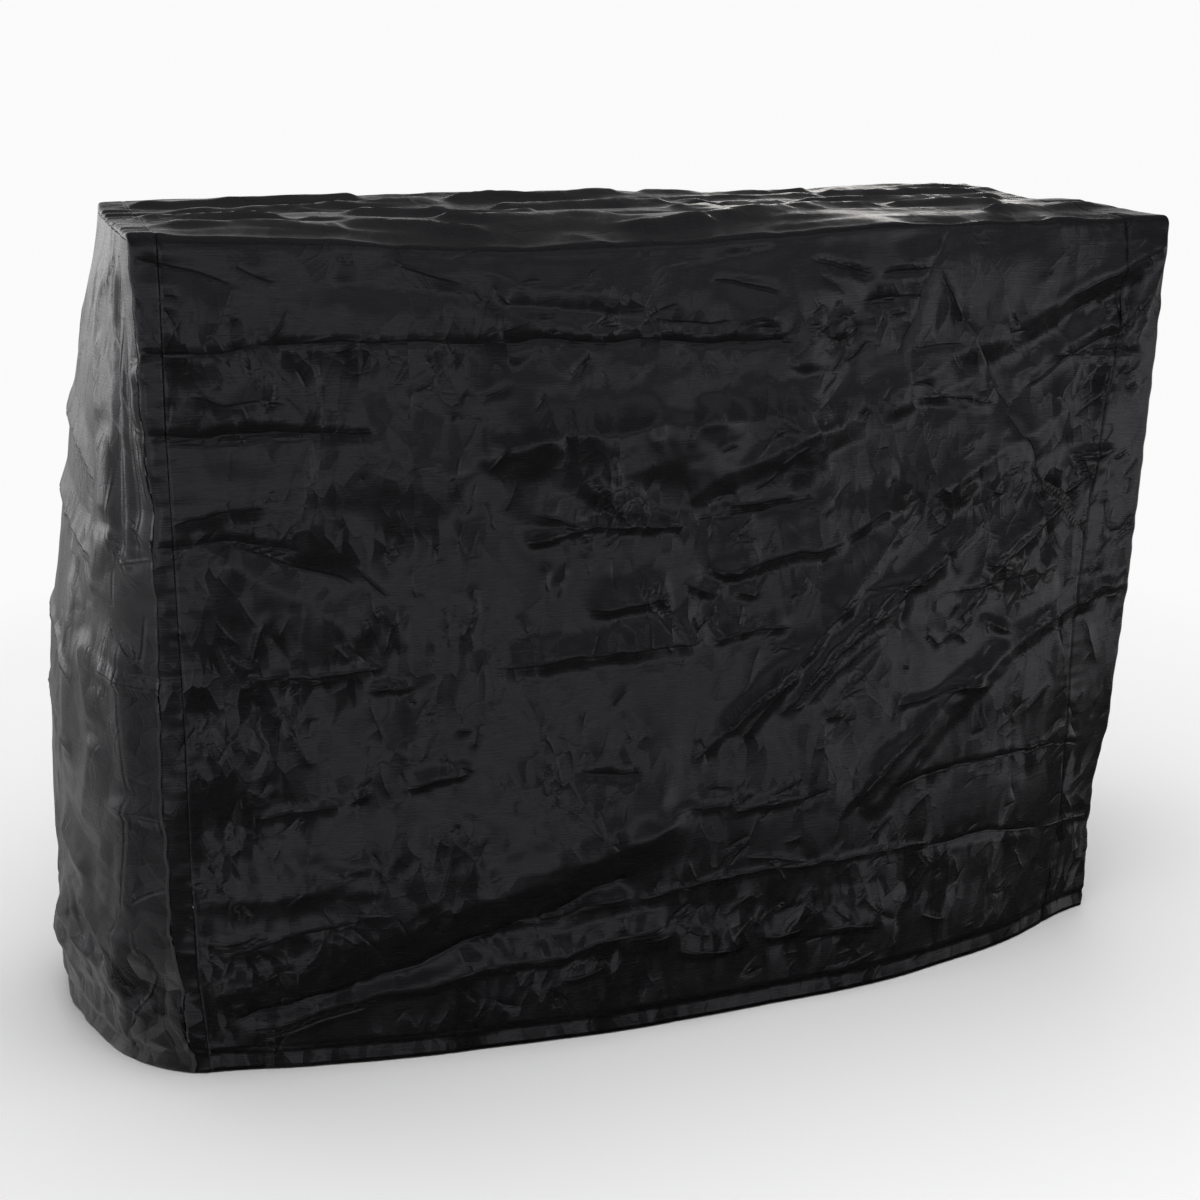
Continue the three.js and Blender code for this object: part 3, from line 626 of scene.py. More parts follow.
def strip_relief(x, v):
    """How far the folds and the fine relief lift the strip's surface outwards."""
    x, v = np.broadcast_arrays(x, v)
    from_hem = off_hem(v)
    at_x, at_v = wandered(x, v)
    front = folds_height(FRONT_FOLDS, *seen_place(at_x, np.clip(at_v, 0, FACE))) * near_top(v)
    back = folds_height(BACK_FOLDS, at_x, STRIP_LENGTH - at_v) * near_top(STRIP_LENGTH - v)
    on_top = smooth((from_hem - TOP_START + 20) / 60)
    top = folds_height(TOP_FOLDS, at_x, at_v - STRIP_LENGTH / 2) * on_top
    facets = face_facets(x, v) * (1 - on_top) + top_facets(x, v) * on_top
    facets = facets + COARSE_FACETS * on_strip("coarse", x, v) * (1 - 0.6 * on_top)
    lumps, sunk = shoulder(x, v, from_hem)
    facets = (facets + lumps - sunk) * (0.4 + 0.6 * smooth(from_hem / HEM_CALM))
    edge = smooth(np.abs(from_hem - TOP_START + EDGE_ARC / 2) / 40) * 0.3 + 0.7
    hem = hem_relief(from_hem, on_strip("wander_v", x, v))
    return (front + back + top) * on_strip("uneven", x, v) + facets * edge + hem


def strip_creases(x, v):
    """Distances aside of the nearest level, slanting and short crease, and their strengths."""
    at_x, at_v = wandered(x, v)
    on_front, on_back = near_top(v), near_top(STRIP_LENGTH - v)
    seen = seen_place(at_x, np.clip(at_v, 0, FACE))
    distances, strengths = [], []
    for level in (True, False):
        front, front_strength = crest_lines(FRONT_FOLDS, *seen, level)
        top, top_strength = crest_lines(TOP_FOLDS, at_x, at_v - STRIP_LENGTH / 2, level)
        back, back_strength = crest_lines(BACK_FOLDS, at_x, STRIP_LENGTH - at_v, level)
        where = [on_front > 0, on_back > 0]
        distances.append(np.select(where, [front, back], top))
        strengths.append(np.select(where, [front_strength * on_front, back_strength * on_back], top_strength))
    distances.append(on_strip("line", x, v))
    strengths.append(on_strip("line_strength", x, v))
    return np.stack((np.stack(distances, -1), np.stack(strengths, -1)))


def seam_wave(at, seed):
    """An uneven wave from -1 to 1 along a seam."""
    rng = np.random.default_rng(seed)
    total = 0
    for length, share in ((34, 0.45), (21, 0.35), (90, 0.2)):
        start = 2 * math.pi * at / length + rng.uniform(0, 6)
        total = total + share * np.sin(start + 1.7 * np.sin(at / 73 + rng.uniform(0, 6)))
    return total


def seam_relief(away, v, seed):
    """The groove at a seam and the puckers that run into it."""
    wave = seam_wave(v, seed)
    return -(0.5 + 0.5 * wave) * np.exp(-((away / 3.2) ** 2)) + 0.9 * wave * np.exp(-away / 22)


EDGE_WAVE = 1.8
EDGE_WAVE_REACH = 24
# How far the left end's corner edges are drawn in at each height, and how fast that fades away from them
EDGE_DRAW = {"z": (0, 100, 280, 500, 750, 880, 980, 1030, 1150, 1200, HEIGHT),
             "in": (14, 18, 23, 24, 24, 20, 13, 22, 12, 4, 0)}
EDGE_DRAW_REACH = 45
End = namedtuple("End", "name side seam edge bulge fullest_y seed")
LEFT = End("left_end_panel", -1, LEFT_SEAM, LEFT_EDGE, LEFT_BULGE, LEFT_FULLEST_Y, 11)
RIGHT = End("right_end_panel", 1, RIGHT_SEAM, RIGHT_EDGE, RIGHT_BULGE, RIGHT_FULLEST_Y, 12)


def seam_x(end, v):
    """A seam's distance from the middle plane along the strip's flat length."""
    return along(end.seam, np.minimum(off_hem(v), HEIGHT), SOFT_Z)


def edge_at(end, height, away=0.0):
    """A corner edge's distance from the middle plane, with its small waves, which fade away from it."""
    wave = seam_wave(height / 2.2, end.seed + 5) * np.exp(-away / EDGE_WAVE_REACH)
    drawn = along(EDGE_DRAW, height, SOFT_Z / 2) * np.exp(-((away / EDGE_DRAW_REACH) ** 2)) * (end.side < 0)
    return along(end.edge, height, SOFT_Z) + EDGE_WAVE * wave - drawn


def edge_x(end, v):
    return edge_at(end, np.minimum(off_hem(v), HEIGHT))


def cover_point(x, v):
    """The finished surface of the strip at places x and flat lengths v."""
    base, out = strip_surface(x, v)
    lift = strip_relief(x, v)
    for end in (LEFT, RIGHT):
        away = np.abs(np.abs(x) - seam_x(end, v)) + FAR_SIDE * (np.sign(x) != end.side)
        lift = lift + seam_relief(away, v, end.seed)
    return base + out * lift[..., None], out


def rows_between(start, stop, step):
    return np.linspace(start, stop, max(int(round((stop - start) / step)), 1) + 1)


def strip_rows():
    hem = rows_between(0, HEM_HEIGHT, FRONT_ROW)
    front = np.concatenate((hem[:-1], rows_between(HEM_HEIGHT, FACE, FRONT_ROW)))
    edge = rows_between(FACE, TOP_START, 6)
    top = rows_between(TOP_START, TOP_START + FLAT_TOP, TOP_ROW)
    back_edge = STRIP_LENGTH - edge[::-1]
    back = rows_between(STRIP_LENGTH - FACE, STRIP_LENGTH - HEM_HEIGHT, BACK_ROW)
    back = np.concatenate((back[:-1], STRIP_LENGTH - hem[::-1]))
    return np.concatenate((front[:-1], edge[:-1], top[:-1], back_edge[:-1], back))


def with_hem(points, flat, first, outward):
    """The hem's inner layer below a grid's edge row, from the deepest row to the edge.

    first counts the grid's rows from that edge, and outward holds the normals of those rows.
    """
    layers = [points[first[row]] - outward[first[row]] * inward for inward, row in HEM_LAYER]
    flats = [flat[first[0]] - (flat[first[row]] - flat[first[0]]) for _, row in HEM_LAYER]
    return layers[::-1], flats[::-1]


def thinned_faces(fine_rows, columns, rows):
    """A grid's faces, with every second column left out after its fine rows, and the vertices used."""
    used = np.ones((rows, columns), bool)
    used[fine_rows:, 1::2] = False
    index = np.cumsum(used.ravel()).reshape(used.shape) - 1
    fine, coarse = index[:fine_rows], index[fine_rows:, ::2]
    last = fine[-1]
    joins = np.stack((last[:-2:2], last[1:-1:2], last[2::2], coarse[0, 1:], coarse[0, :-1]), -1)
    return [grid_faces(fine), joins, grid_faces(coarse)], used.ravel()


def outward_normals(points, out):
    """Unit normals of a grid of points, turned to the side that out points to."""
    normal = np.cross(np.gradient(points, axis=1), np.gradient(points, axis=0))
    normal /= np.maximum(np.linalg.norm(normal, axis=-1, keepdims=True), 1e-9)
    return normal * np.where(np.sum(normal * out, -1, keepdims=True) < 0, -1, 1)


def turned_in(edge, flat, out, side, flat_step):
    """Columns of cloth turned in at a seam, from the deepest one to the edge, with their flat places."""
    places, flats = [], []
    for aside, inward in ALLOWANCE[::-1]:
        place = edge - out * inward
        place[:, 0] += side * aside
        places.append(place)
        flats.append(flat + flat_step * inward)
    return places, flats


def grid_faces(index, flip=False):
    """Quads between the neighbours of a grid of vertex numbers."""
    quads = np.stack((index[:-1, :-1], index[:-1, 1:], index[1:, 1:], index[1:, :-1]), -1).reshape(-1, 4)
    return quads[:, ::-1] if flip else quads


def make_mesh(name, points, faces, flat, crumple, creases):
    """A smooth-shaded mesh in metres, lowered to the frame's height, whose UV map is its flat pattern.

    creases are each point's distances aside of the nearest creases and those creases' strengths.
    """
    mesh = bpy.data.meshes.new(name)
    places = points * MM + np.array((0, 0, (CLOTH - HEIGHT) * MM))
    mesh.vertices.add(len(places))
    mesh.vertices.foreach_set("co", places.astype(np.float32).ravel())
    corners = np.concatenate([group.ravel() for group in faces])
    sizes = np.concatenate([np.full(len(group), group.shape[1]) for group in faces])
    mesh.loops.add(len(corners))
    mesh.loops.foreach_set("vertex_index", corners.astype(np.int32))
    mesh.polygons.add(len(sizes))
    mesh.polygons.foreach_set("loop_start", (np.cumsum(sizes) - sizes).astype(np.int32))
    mesh.polygons.foreach_set("use_smooth", np.ones(len(sizes), bool))
    mesh.update(calc_edges=True)
    uv = mesh.uv_layers.new(name="flat")
    uv.data.foreach_set("uv", (flat[corners] * MM).astype(np.float32).ravel())
    mesh.attributes.new("crumple", "FLOAT", "POINT").data.foreach_set("value", crumple.astype(np.float32))
    for layer, vectors in zip(("aside", "sharpness"), creases):
        attribute = mesh.attributes.new(layer, "FLOAT_VECTOR", "POINT")
        attribute.data.foreach_set("vector", vectors.astype(np.float32).ravel())
    mesh.validate()
    made = bpy.data.objects.new(name, mesh)
    bpy.context.scene.collection.objects.link(made)
    return made


def make_strip():
    v = strip_rows()[:, None]
    left = -seam_x(LEFT, v) + SEAM_GAP / 2
    right = seam_x(RIGHT, v) - SEAM_GAP / 2
    x = left + (right - left) * np.linspace(0, 1, STRIP_COLUMNS + 1)[None, :]
    v = np.broadcast_to(v, x.shape)
    points, out = cover_point(x, v)
    flat = np.stack((x, v), -1)
    left_in, left_flat = turned_in(points[:, 0], flat[:, 0], out[:, 0], 1, np.array((-1, 0)))
    right_in, right_flat = turned_in(points[:, -1], flat[:, -1], out[:, -1], -1, np.array((1, 0)))
    points = np.stack(left_in + list(points.swapaxes(0, 1)) + right_in[::-1], 1)
    flat = np.stack(left_flat + list(flat.swapaxes(0, 1)) + right_flat[::-1], 1)
    outward = outward_normals(points, np.broadcast_to(out[:, :1], points.shape))
    rows = list(range(len(points)))
    low, low_flat = with_hem(points, flat, rows, outward)
    high, high_flat = with_hem(points, flat, rows[::-1], outward)
    points = np.concatenate((np.stack(low), points, np.stack(high[::-1])))
    flat = np.concatenate((np.stack(low_flat), flat, np.stack(high_flat[::-1])))
    fine_rows = len(low) + int(np.searchsorted(v[:, 0], STRIP_LENGTH - FACE)) + 1
    faces, used = thinned_faces(fine_rows, points.shape[1], points.shape[0])
    flat = flat.reshape(-1, 2)[used]
    return make_mesh("strip_cloth", points.reshape(-1, 3)[used], faces, flat, on_strip("share", *flat.T),
                     strip_creases(*flat.T))


def end_out(end, y, z, front, back):
    """How far an end stands out past its corner edges, which are at front and back across the depth."""
    full = end.fullest_y
    share = np.where(y < full, (y - front) / (full - front), (back - y) / (back - full))
    return along(end.bulge, z, SOFT_Z) * np.sin(np.clip(share, 0, 1) * math.pi / 2) ** BULGE_FULLNESS


def end_relief(end, y, z):
    """How far the folds and the fine relief of an end lift it, at places of its flat pattern."""
    folds = folds_height(END_FOLDS[end.name], y, z) * smooth((FACE + 10 - z) / 40)
    return on_end("relief", end, y, z) + folds + hem_relief(z, 5 * on_end("relief", end, y, 0 * z))


END_MARGIN = 560
END_FOLDS = {name: [Fold(*row) for row in rows] for name, rows in {
    "left_end_panel": (
        # upright pleats below the top corner, then their crease
        (-120, 1400, -120, 1290, 6, 70, 30), (-130, 1300, -215, 1150, 11, 70, 60, 0, 1.0),
        (-215, 1165, -235, 990, 11, 70, 60, 0, 1.0), (-235, 1010, -200, 850, 10, 60, 60, 0, 1.0),
        (-284, 1420, -288, 940, -9, 15, 24, 0, 1.0), (-318, 1390, -322, 950, -6, 12, 16, 0, 1.0),
        (-345, 1280, -348, 1040, 5, 12, 12, 0, 1.0), (-330, 1420, -300, 1200, 4, 14, 14),
        (-250, 1420, -262, 1300, 4, 12, 12), (-210, 1430, -225, 1330, -4, 12, 12),
        (-170, 1430, -180, 1340, 4, 12, 12),
        # lower pleats
        (-285, 820, -290, 540, 7, 34, 24), (-290, 550, -255, 300, 6, 30, 24),
        (-140, 800, -215, 630, 9, 50, 60), (-215, 640, -150, 420, 9, 50, 60),
        (-60, 900, -80, 500, 7, 70, 50, 0, 1.2),
        # packing creases and slanting creases
        (-380, 1288, -325, 1262, -2.5, 12, 12), (-370, 1160, -318, 1182, -2.5, 12, 12),
        (-210, 1060, 340, 1125, 8, 50, 16, 21), (-200, 930, 340, 990, 9, 50, 16, 15),
        (-362, 968, -300, 1020, 5, 20, 14, 0, 1.0), (-362, 968, -270, 940, -4, 16, 16, 0, 1.0),
        (-240, 1000, -330, 900, 4, 16, 14, 0, 1.0), (-350, 735, -210, 750, 7, 24, 16),
        (-345, 500, -230, 512, 6, 24, 14), (-130, 690, 300, 790, 6, 20, 14, 11),
        (-120, 560, 300, 640, 5, 18, 14, 10),
        # facets over the foot
        (-170, 330, 0, 400, 14, 70, 40, 0, 1.0), (-230, 200, -100, 300, 13, 60, 40, 0, 1.0),
        (-260, 280, -200, 120, 11, 50, 40, 0, 1.0), (-160, 150, 20, 230, 13, 60, 40, 0, 1.0),
        (-280, 90, -170, 140, 10, 40, 40, 0, 1.0), (-60, 90, 100, 190, 12, 50, 40, 0, 1.0),
        (-100, 260, 60, 130, 10, 50, 50, 0, 1.0), (-290, 210, -230, 60, -9, 30, 40, 0, 1.0),
    ),
    "right_end_panel": (
        (-210, 1420, -230, 620, 13, 110, 60, 0, 1.3), (-20, 1430, -30, 300, -12, 90, 90, 0, 1.4),
        (190, 1400, 210, 700, 14, 110, 80, 0, 1.3), (-360, 1288, 370, 1262, -5, 14, 12, 6),
        (-360, 1140, 360, 1136, 9, 80, 16, -8), (-350, 955, 350, 962, 8, 60, 16, 8),
        (-345, 722, 345, 736, 9, 60, 16, -6), (-340, 490, 340, 496, 8, 50, 16, 5),
        (-340, 212, 340, 200, 9, 50, 20, 5), (-300, 420, -120, 60, 12, 70, 60),
        (40, 420, 200, 60, 12, 70, 60),
    ),
}.items()}


# Half the rise of an end's flat facets, from large to small
END_FACETS = (2.6, 2.8, 1.7)


def end_map(end):
    """Rasters of an end's fine relief and of how much it is crumpled, on its flat pattern."""
    size = 2 * END_MARGIN
    length = HEIGHT + 2 * END_MARGIN
    coarse = blur(facet_map(size, length, 170, end.seed), 3)
    middle = facet_map(size, length, 72, end.seed + 1)
    fine = facet_map(size, length, 34, end.seed + 2)
    y, z = (at - END_MARGIN for at in flat_places(coarse.shape))
    share = 0.35 + 1.1 * smooth((430 - z) / 260)
    for height in PACKING_HEIGHTS:
        share = share + 0.4 * np.exp(-(((z - height) / PACKING_REACH) ** 2))
    share = share + 0.8 * np.exp(-(((y + 150) / 120) ** 2 + ((z - 900) / 110) ** 2))
    sizes = {"length": (30, 130), "flank": (6, 16), "out": (0.6, 2.2)}
    often, upright = (lambda u, v: 0.6), (lambda u, v: 0)
    short, line, line_strength = crinkle_map(coarse.shape, 700, often, upright, sizes, end.seed + 3)
    tame = 0.25 + 0.75 * smooth((900 - z) / 400)
    foot = 1 + 1.4 * smooth((380 - z) / 120)
    relief = (END_FACETS[0] * coarse + END_FACETS[1] * (0.5 + 0.5 * share) * middle * foot) * tame
    relief = relief + END_FACETS[2] * share * fine + short
    return {"relief": relief, "share": share, "line": line, "line_strength": line_strength}


end_maps = {end.name: end_map(end) for end in (LEFT, RIGHT)}


def on_end(name, end, y, z):
    return sample(end_maps[end.name][name], y + END_MARGIN, z + END_MARGIN)


def end_creases(end, y, z):
    """Distances aside of the nearest level, slanting and short crease, and their strengths."""
    distances, strengths = [], []
    for level in (True, False):
        distance, strength = crest_lines(END_FOLDS[end.name], y, z, level)
        distances.append(distance)
        strengths.append(strength * smooth((FACE + 10 - z) / 40))
    distances.append(on_end("line", end, y, z))
    strengths.append(on_end("line_strength", end, y, z))
    return np.stack((np.stack(distances, -1), np.stack(strengths, -1)))


def end_rows():
    """Flat lengths of an end's rim from the front's hem to the middle of the top's edge, and over the top."""
    hem = rows_between(0, HEM_HEIGHT, END_ROW)
    face = rows_between(HEM_HEIGHT, FACE, END_ROW)
    edge = rows_between(FACE, FACE + EDGE_ARC / 2, END_ROW)
    up = np.concatenate((hem[:-1], face[:-1], edge))
    over = rows_between(up[-1], STRIP_LENGTH - up[-1], END_ROW)
    return up, over


def end_corner(end, v, rim_end, turn):
    """The rounded corner edge, which turns from the faces' direction to the end's.

    Its points without their relief, the direction outwards there, the arc from the rim and the bulge.
    """
    sideways = np.array((end.side, 0, 0))
    radius = edge_x(end, v) - rim_end
    base, base_out = strip_surface(end.side * rim_end, v)
    corner = base - base_out * (radius * (1 - np.cos(turn)))[..., None]
    corner = corner + sideways * (radius * np.sin(turn))[..., None]
    z = corner[..., 2]
    bulge = end_out(end, corner[..., 1], z, *end_edges(end, v, rim_end))
    bulge = bulge - HEM_TURN_IN * smooth(1 - z / HEM_HEIGHT) * np.sin(turn)
    bulge = bulge + (edge_at(end, z) - edge_x(end, v)) * np.sin(turn)
    direction = base_out * np.cos(turn)[..., None] + sideways * np.sin(turn)[..., None]
    return corner + sideways * bulge[..., None], direction, radius * turn, bulge


def end_edges(end, v, rim_end):
    """Where the front and back corner edges are across the depth."""
    z = np.clip(off_hem(v), 0, FACE)
    return -face_depth(-1.0, end.side * rim_end, z), face_depth(1.0, end.side * rim_end, z)


def end_inside(end, edge_points, up, over, front, back):
    """The end's own face, stretched between its corner edges, the top's edge and the hem."""
    left, right = edge_points[:len(up)], edge_points[::-1][:len(up)]
    top = edge_points[len(up) - 1:len(up) - 1 + len(over)]
    t = ((up - up[0]) / (up[-1] - up[0]))[:, None, None]
    s = ((over - over[0]) / (over[-1] - over[0]))[None, :, None]
    foot = left[0] * (1 - s[0]) + right[0] * s[0]
    inner = left[:, None] * (1 - s) + right[:, None] * s + foot[None] * (1 - t) + top[None] * t
    low = left[0] * (1 - s) * (1 - t) + right[0] * s * (1 - t)
    inner = inner - (low + left[-1] * (1 - s) * t + right[-1] * s * t)
    y, z = inner[..., 1], inner[..., 2]
    away = np.maximum(np.minimum(y - front, back - y) - CORNER_RADIUS, 0)
    x = edge_at(end, z, away) + end_out(end, y, z, front, back)
    x = x - HEM_TURN_IN * smooth(1 - z / HEM_HEIGHT) + end_relief(end, y, z)
    return np.stack((end.side * x, y, z), -1)


def make_end(end):
    up, over = end_rows()
    v = np.concatenate((up, over[1:-1], STRIP_LENGTH - up[::-1]))[:, None]
    seam = seam_x(end, v) + SEAM_GAP / 2
    rim_end = np.maximum(edge_x(end, v) - CORNER_RADIUS, seam + LEAST_RIM)
    steps = max(int(round(float(np.max(rim_end - seam)) / RIM_STEP)), 2)
    rim_x = seam + (rim_end - seam) * np.linspace(0, 1, steps + 1)[None, :]
    rim, out = cover_point(end.side * rim_x, np.broadcast_to(v, rim_x.shape))
    turn = np.linspace(0, math.pi / 2, CORNER_STEPS + 1)[None, 1:]
    corner, direction, arc, bulge = end_corner(end, v, rim_end, turn)
    # flat places of the rim and corner: the end's own plane, carried on past its boundary
    quarter = (edge_x(end, v) - rim_end) * math.pi / 2
    away = np.concatenate(((rim_end - rim_x) + quarter, quarter - arc), 1)
    boundary = corner[:, -1:]
    base_out = strip_surface(end.side * rim_end, v)[1]
    flat = np.stack([boundary[..., k] + base_out[..., k] * away for k in (1, 2)], -1)
    # the corner's relief, which goes over from the strip's to the end's
    at_v = np.broadcast_to(v, arc.shape)
    face_lift = strip_relief(end.side * (rim_end + arc), at_v)
    face_lift = face_lift + seam_relief(rim_end + arc - seam, at_v, end.seed)
    share = smooth(turn / (math.pi / 2))
    end_lift = end_relief(end, flat[:, steps + 1:, 0], flat[:, steps + 1:, 1])
    corner = corner + direction * (face_lift * (1 - share) + end_lift * share)[..., None]
    edge_points = (boundary - np.array((end.side, 0, 0)) * bulge[:, -1:, None])[:, 0]
    front, back = (edge[:len(up)] for edge in end_edges(end, v, rim_end))
    inner = end_inside(end, edge_points, up, over, front, back)
    # one mesh: the rim's grid, with the seam's allowance, and the inside's own points after it
    turned, turned_flat = turned_in(rim[:, 0], flat[:, 0], out[:, 0], end.side, base_out[:, 0, 1:])
    rim = np.concatenate((rim, corner), 1)
    rim = np.stack(turned + list(rim.swapaxes(0, 1)), 1)
    flat = np.stack(turned_flat + list(flat.swapaxes(0, 1)), 1)
    rim_index = np.arange(rim.shape[0] * rim.shape[1]).reshape(rim.shape[:2])
    inner_index = np.zeros((len(up), len(over)), int)
    inner_index[:, 0] = rim_index[:len(up), -1]
    inner_index[:, -1] = rim_index[::-1][:len(up), -1]
    inner_index[-1] = rim_index[len(up) - 1:len(up) - 1 + len(over), -1]
    own = inner[:-1, 1:-1]
    inner_index[:-1, 1:-1] = rim_index.size + np.arange(own.shape[0] * own.shape[1]).reshape(own.shape[:2])
    points = np.concatenate((rim.reshape(-1, 3), own.reshape(-1, 3)))
    flat = np.concatenate((flat.reshape(-1, 2), own[..., 1:].reshape(-1, 2)))
    faces = [grid_faces(rim_index, end.side < 0), grid_faces(inner_index, end.side > 0)]
    # the hem's inner layer, all the way round the foot
    low = slice(FOOT_ROWS)
    foot_index = np.concatenate((rim_index[low], inner_index[low, 1:-1], rim_index[::-1][low, ::-1]), 1)
    foot_points = points[foot_index]
    outward = outward_normals(foot_points, foot_points - np.array((end.side * TOP_WIDTH / 4, 0, 0)))
    layers, layer_flats = with_hem(foot_points, flat[foot_index], list(range(FOOT_ROWS)), outward)
    layer_index = len(points) + np.arange(len(layers) * foot_index.shape[1]).reshape(len(layers), -1)
    points = np.concatenate((points, np.concatenate(layers)))
    flat = np.concatenate((flat, np.concatenate(layer_flats)))
    faces.append(grid_faces(np.concatenate((layer_index, foot_index[:1])), end.side < 0))
    creases = end_creases(end, *flat.T)
    # the rim carries on the strip's creases
    rim_places = np.concatenate([seam - depth for _, depth in ALLOWANCE[::-1]] + [rim_x], 1)
    columns = rim_places.shape[1]
    at_v = np.broadcast_to(v, rim_places.shape)
    creases[:, rim_index[:, :columns]] = strip_creases(end.side * rim_places, at_v)
    creases[1, rim_index[:, columns - 1:]] = 0
    name = end.name.replace("panel", "cloth")
    return make_mesh(name, points, faces, flat, on_end("share", end, *flat.T), creases)


# The photograph's camera in the frame: place in metres, angles in degrees, and lens and sensor
CAMERA_PLACE = (-1.0746, -2.832, 0.1884)
CAMERA_TURN = -19.96
CAMERA_TILT = -17.56
CAMERA_ROLL = 0.22
LENS = 47.13
SENSOR = 36


def make_camera():
    camera = bpy.data.objects.new("camera", bpy.data.cameras.new("camera"))
    bpy.context.scene.collection.objects.link(camera)
    camera.data.sensor_width = SENSOR
    camera.data.lens = LENS
    placed = Matrix.Translation(CAMERA_PLACE)
    for degrees, axis in ((CAMERA_TURN, "Z"), (90 + CAMERA_TILT, "X"), (CAMERA_ROLL, "Z")):
        placed = placed @ Matrix.Rotation(math.radians(degrees), 4, axis)
    camera.matrix_world = placed
    bpy.context.scene.camera = camera


class Tree:
    """The nodes of a material or world. Sockets are given as {name or number: value or output to link}."""

    def __init__(self, owner):
        owner.use_nodes = True
        self.nodes, self.links = owner.node_tree.nodes, owner.node_tree.links

    def put(self, node, sockets):
        for name, value in sockets.items():
            if isinstance(value, bpy.types.NodeSocket):
                self.links.new(value, node.inputs[name])
            else:
                node.inputs[name].default_value = value

    def add(self, kind, sockets=(), **settings):
        made = self.nodes.new("ShaderNode" + kind)
        for name, value in settings.items():
            setattr(made, name, value)
        self.put(made, dict(sockets))
        return made.outputs

    def math(self, operation, *values):
        return self.add("Math", dict(enumerate(values)), operation=operation)[0]

    def vector(self, operation, a, b=None):
        second = {} if b is None else {"Scale" if operation == "SCALE" else 1: b}
        made = self.add("VectorMath", {0: a, **second}, operation=operation)
        return made["Value" if operation in ("LENGTH", "DOT_PRODUCT") else "Vector"]

    def mix(self, share, a, b):
        return self.add("Mix", {0: share, 2: a, 3: b}, data_type="FLOAT")[0]

    def noise(self, at, scale, detail):
        return self.add("TexNoise", {"Vector": at, "Scale": scale, "Detail": detail})

    def bump(self, normal, height, distance, strength=1.0):
        sockets = {"Height": height, "Distance": distance, "Normal": normal, "Strength": strength}
        return self.add("Bump", sockets)["Normal"]

    def ramp(self, source, stops):
        """Greys between stops of (place, grey)."""
        made = self.add("ValToRGB", {0: source})[0]
        elements = made.node.color_ramp.elements
        while len(elements) < len(stops):
            elements.new(0.5)
        for element, (place, grey) in zip(elements, stops):
            element.position = place
            element.color = (grey, grey, grey, 1)
        return made


# The cloth's small facets, from large to small: cells a metre across the pleats, and how far they tilt
FACETS = ((10.0, 0.085), (24.0, 0.105), (58.0, 0.095))
FACET_STRETCH = 0.42
FACET_DRIFT = 0.09
HALF = (0.5, 0.5, 0.5)

# The cloth's two tones and its roughness, and the heights of its facets' ridges and its threads in metres
DARK_TONE = (0.0062, 0.006, 0.0065, 1)
PALE_TONE = (0.0085, 0.008, 0.009, 1)
ROUGHNESS = (0.25, 0.32)
CREASE_HEIGHT = 0.0004
THREAD_HEIGHT = 0.0002

# The sharp lines along the creases: half their width in millimetres, and their height in metres
LINE_WIDTH = 4.2
LINE_HEIGHT = 0.0013


def facet_normal(tree, flat, some):
    """The normal on the cloth's small flat facets, and the ridges between them."""
    drift = tree.noise(flat, 6.0, 2.0)["Color"]
    bent = tree.vector("ADD", flat, tree.vector("SCALE", tree.vector("SUBTRACT", drift, HALF), FACET_DRIFT))
    tilt, ridges = (0, 0, 0), 0.0
    for scale, share in FACETS:
        at = tree.add("Mapping", {"Vector": bent, "Scale": (scale, scale * FACET_STRETCH, 1.0)})[0]
        cell = {"Vector": at, "Scale": 1.0}
        own = tree.vector("SUBTRACT", tree.add("TexVoronoi", cell, voronoi_dimensions="2D")["Color"], HALF)
        tilt = tree.vector("ADD", tilt, tree.vector("SCALE", own, share))
        border = tree.add("TexVoronoi", cell, voronoi_dimensions="2D", feature="DISTANCE_TO_EDGE")["Distance"]
        ridge = tree.ramp(tree.math("MULTIPLY", border, 60.0 / scale), ((0.0, 1.0), (0.13, 0.0)))
        ridges = tree.math("MAXIMUM", ridges, ridge)
    crumple = tree.add("Attribute", attribute_name="crumple")["Fac"]
    amount = tree.math("MULTIPLY", crumple, tree.math("ADD", some, 0.4))
    tilt = tree.vector("MULTIPLY", tree.vector("SCALE", tilt, amount), (1.0, 1.0, 0.0))
    normal = tree.add("NormalMap", {"Color": tree.vector("ADD", tilt, (0.5, 0.5, 1.0))}, uv_map="flat")[0]
    return normal, ridges


def crease_tents(tree):
    """A tent over each sharp crease, from the distances and strengths that the mesh carries."""
    aside = tree.add("Attribute", attribute_name="aside")["Vector"]
    sharpness = tree.add("Attribute", attribute_name="sharpness")["Vector"]
    away = tree.vector("SCALE", tree.vector("ABSOLUTE", aside), 1 / LINE_WIDTH)
    tent = tree.vector("MAXIMUM", tree.vector("SUBTRACT", (1.0, 1.0, 1.0), away), (0.0, 0.0, 0.0))
    return tree.vector("DOT_PRODUCT", tent, sharpness)


def threads(tree, flat, scale):
    return tree.noise(tree.add("Mapping", {"Vector": flat, "Scale": scale})[0], 1.0, 2.0)["Fac"]


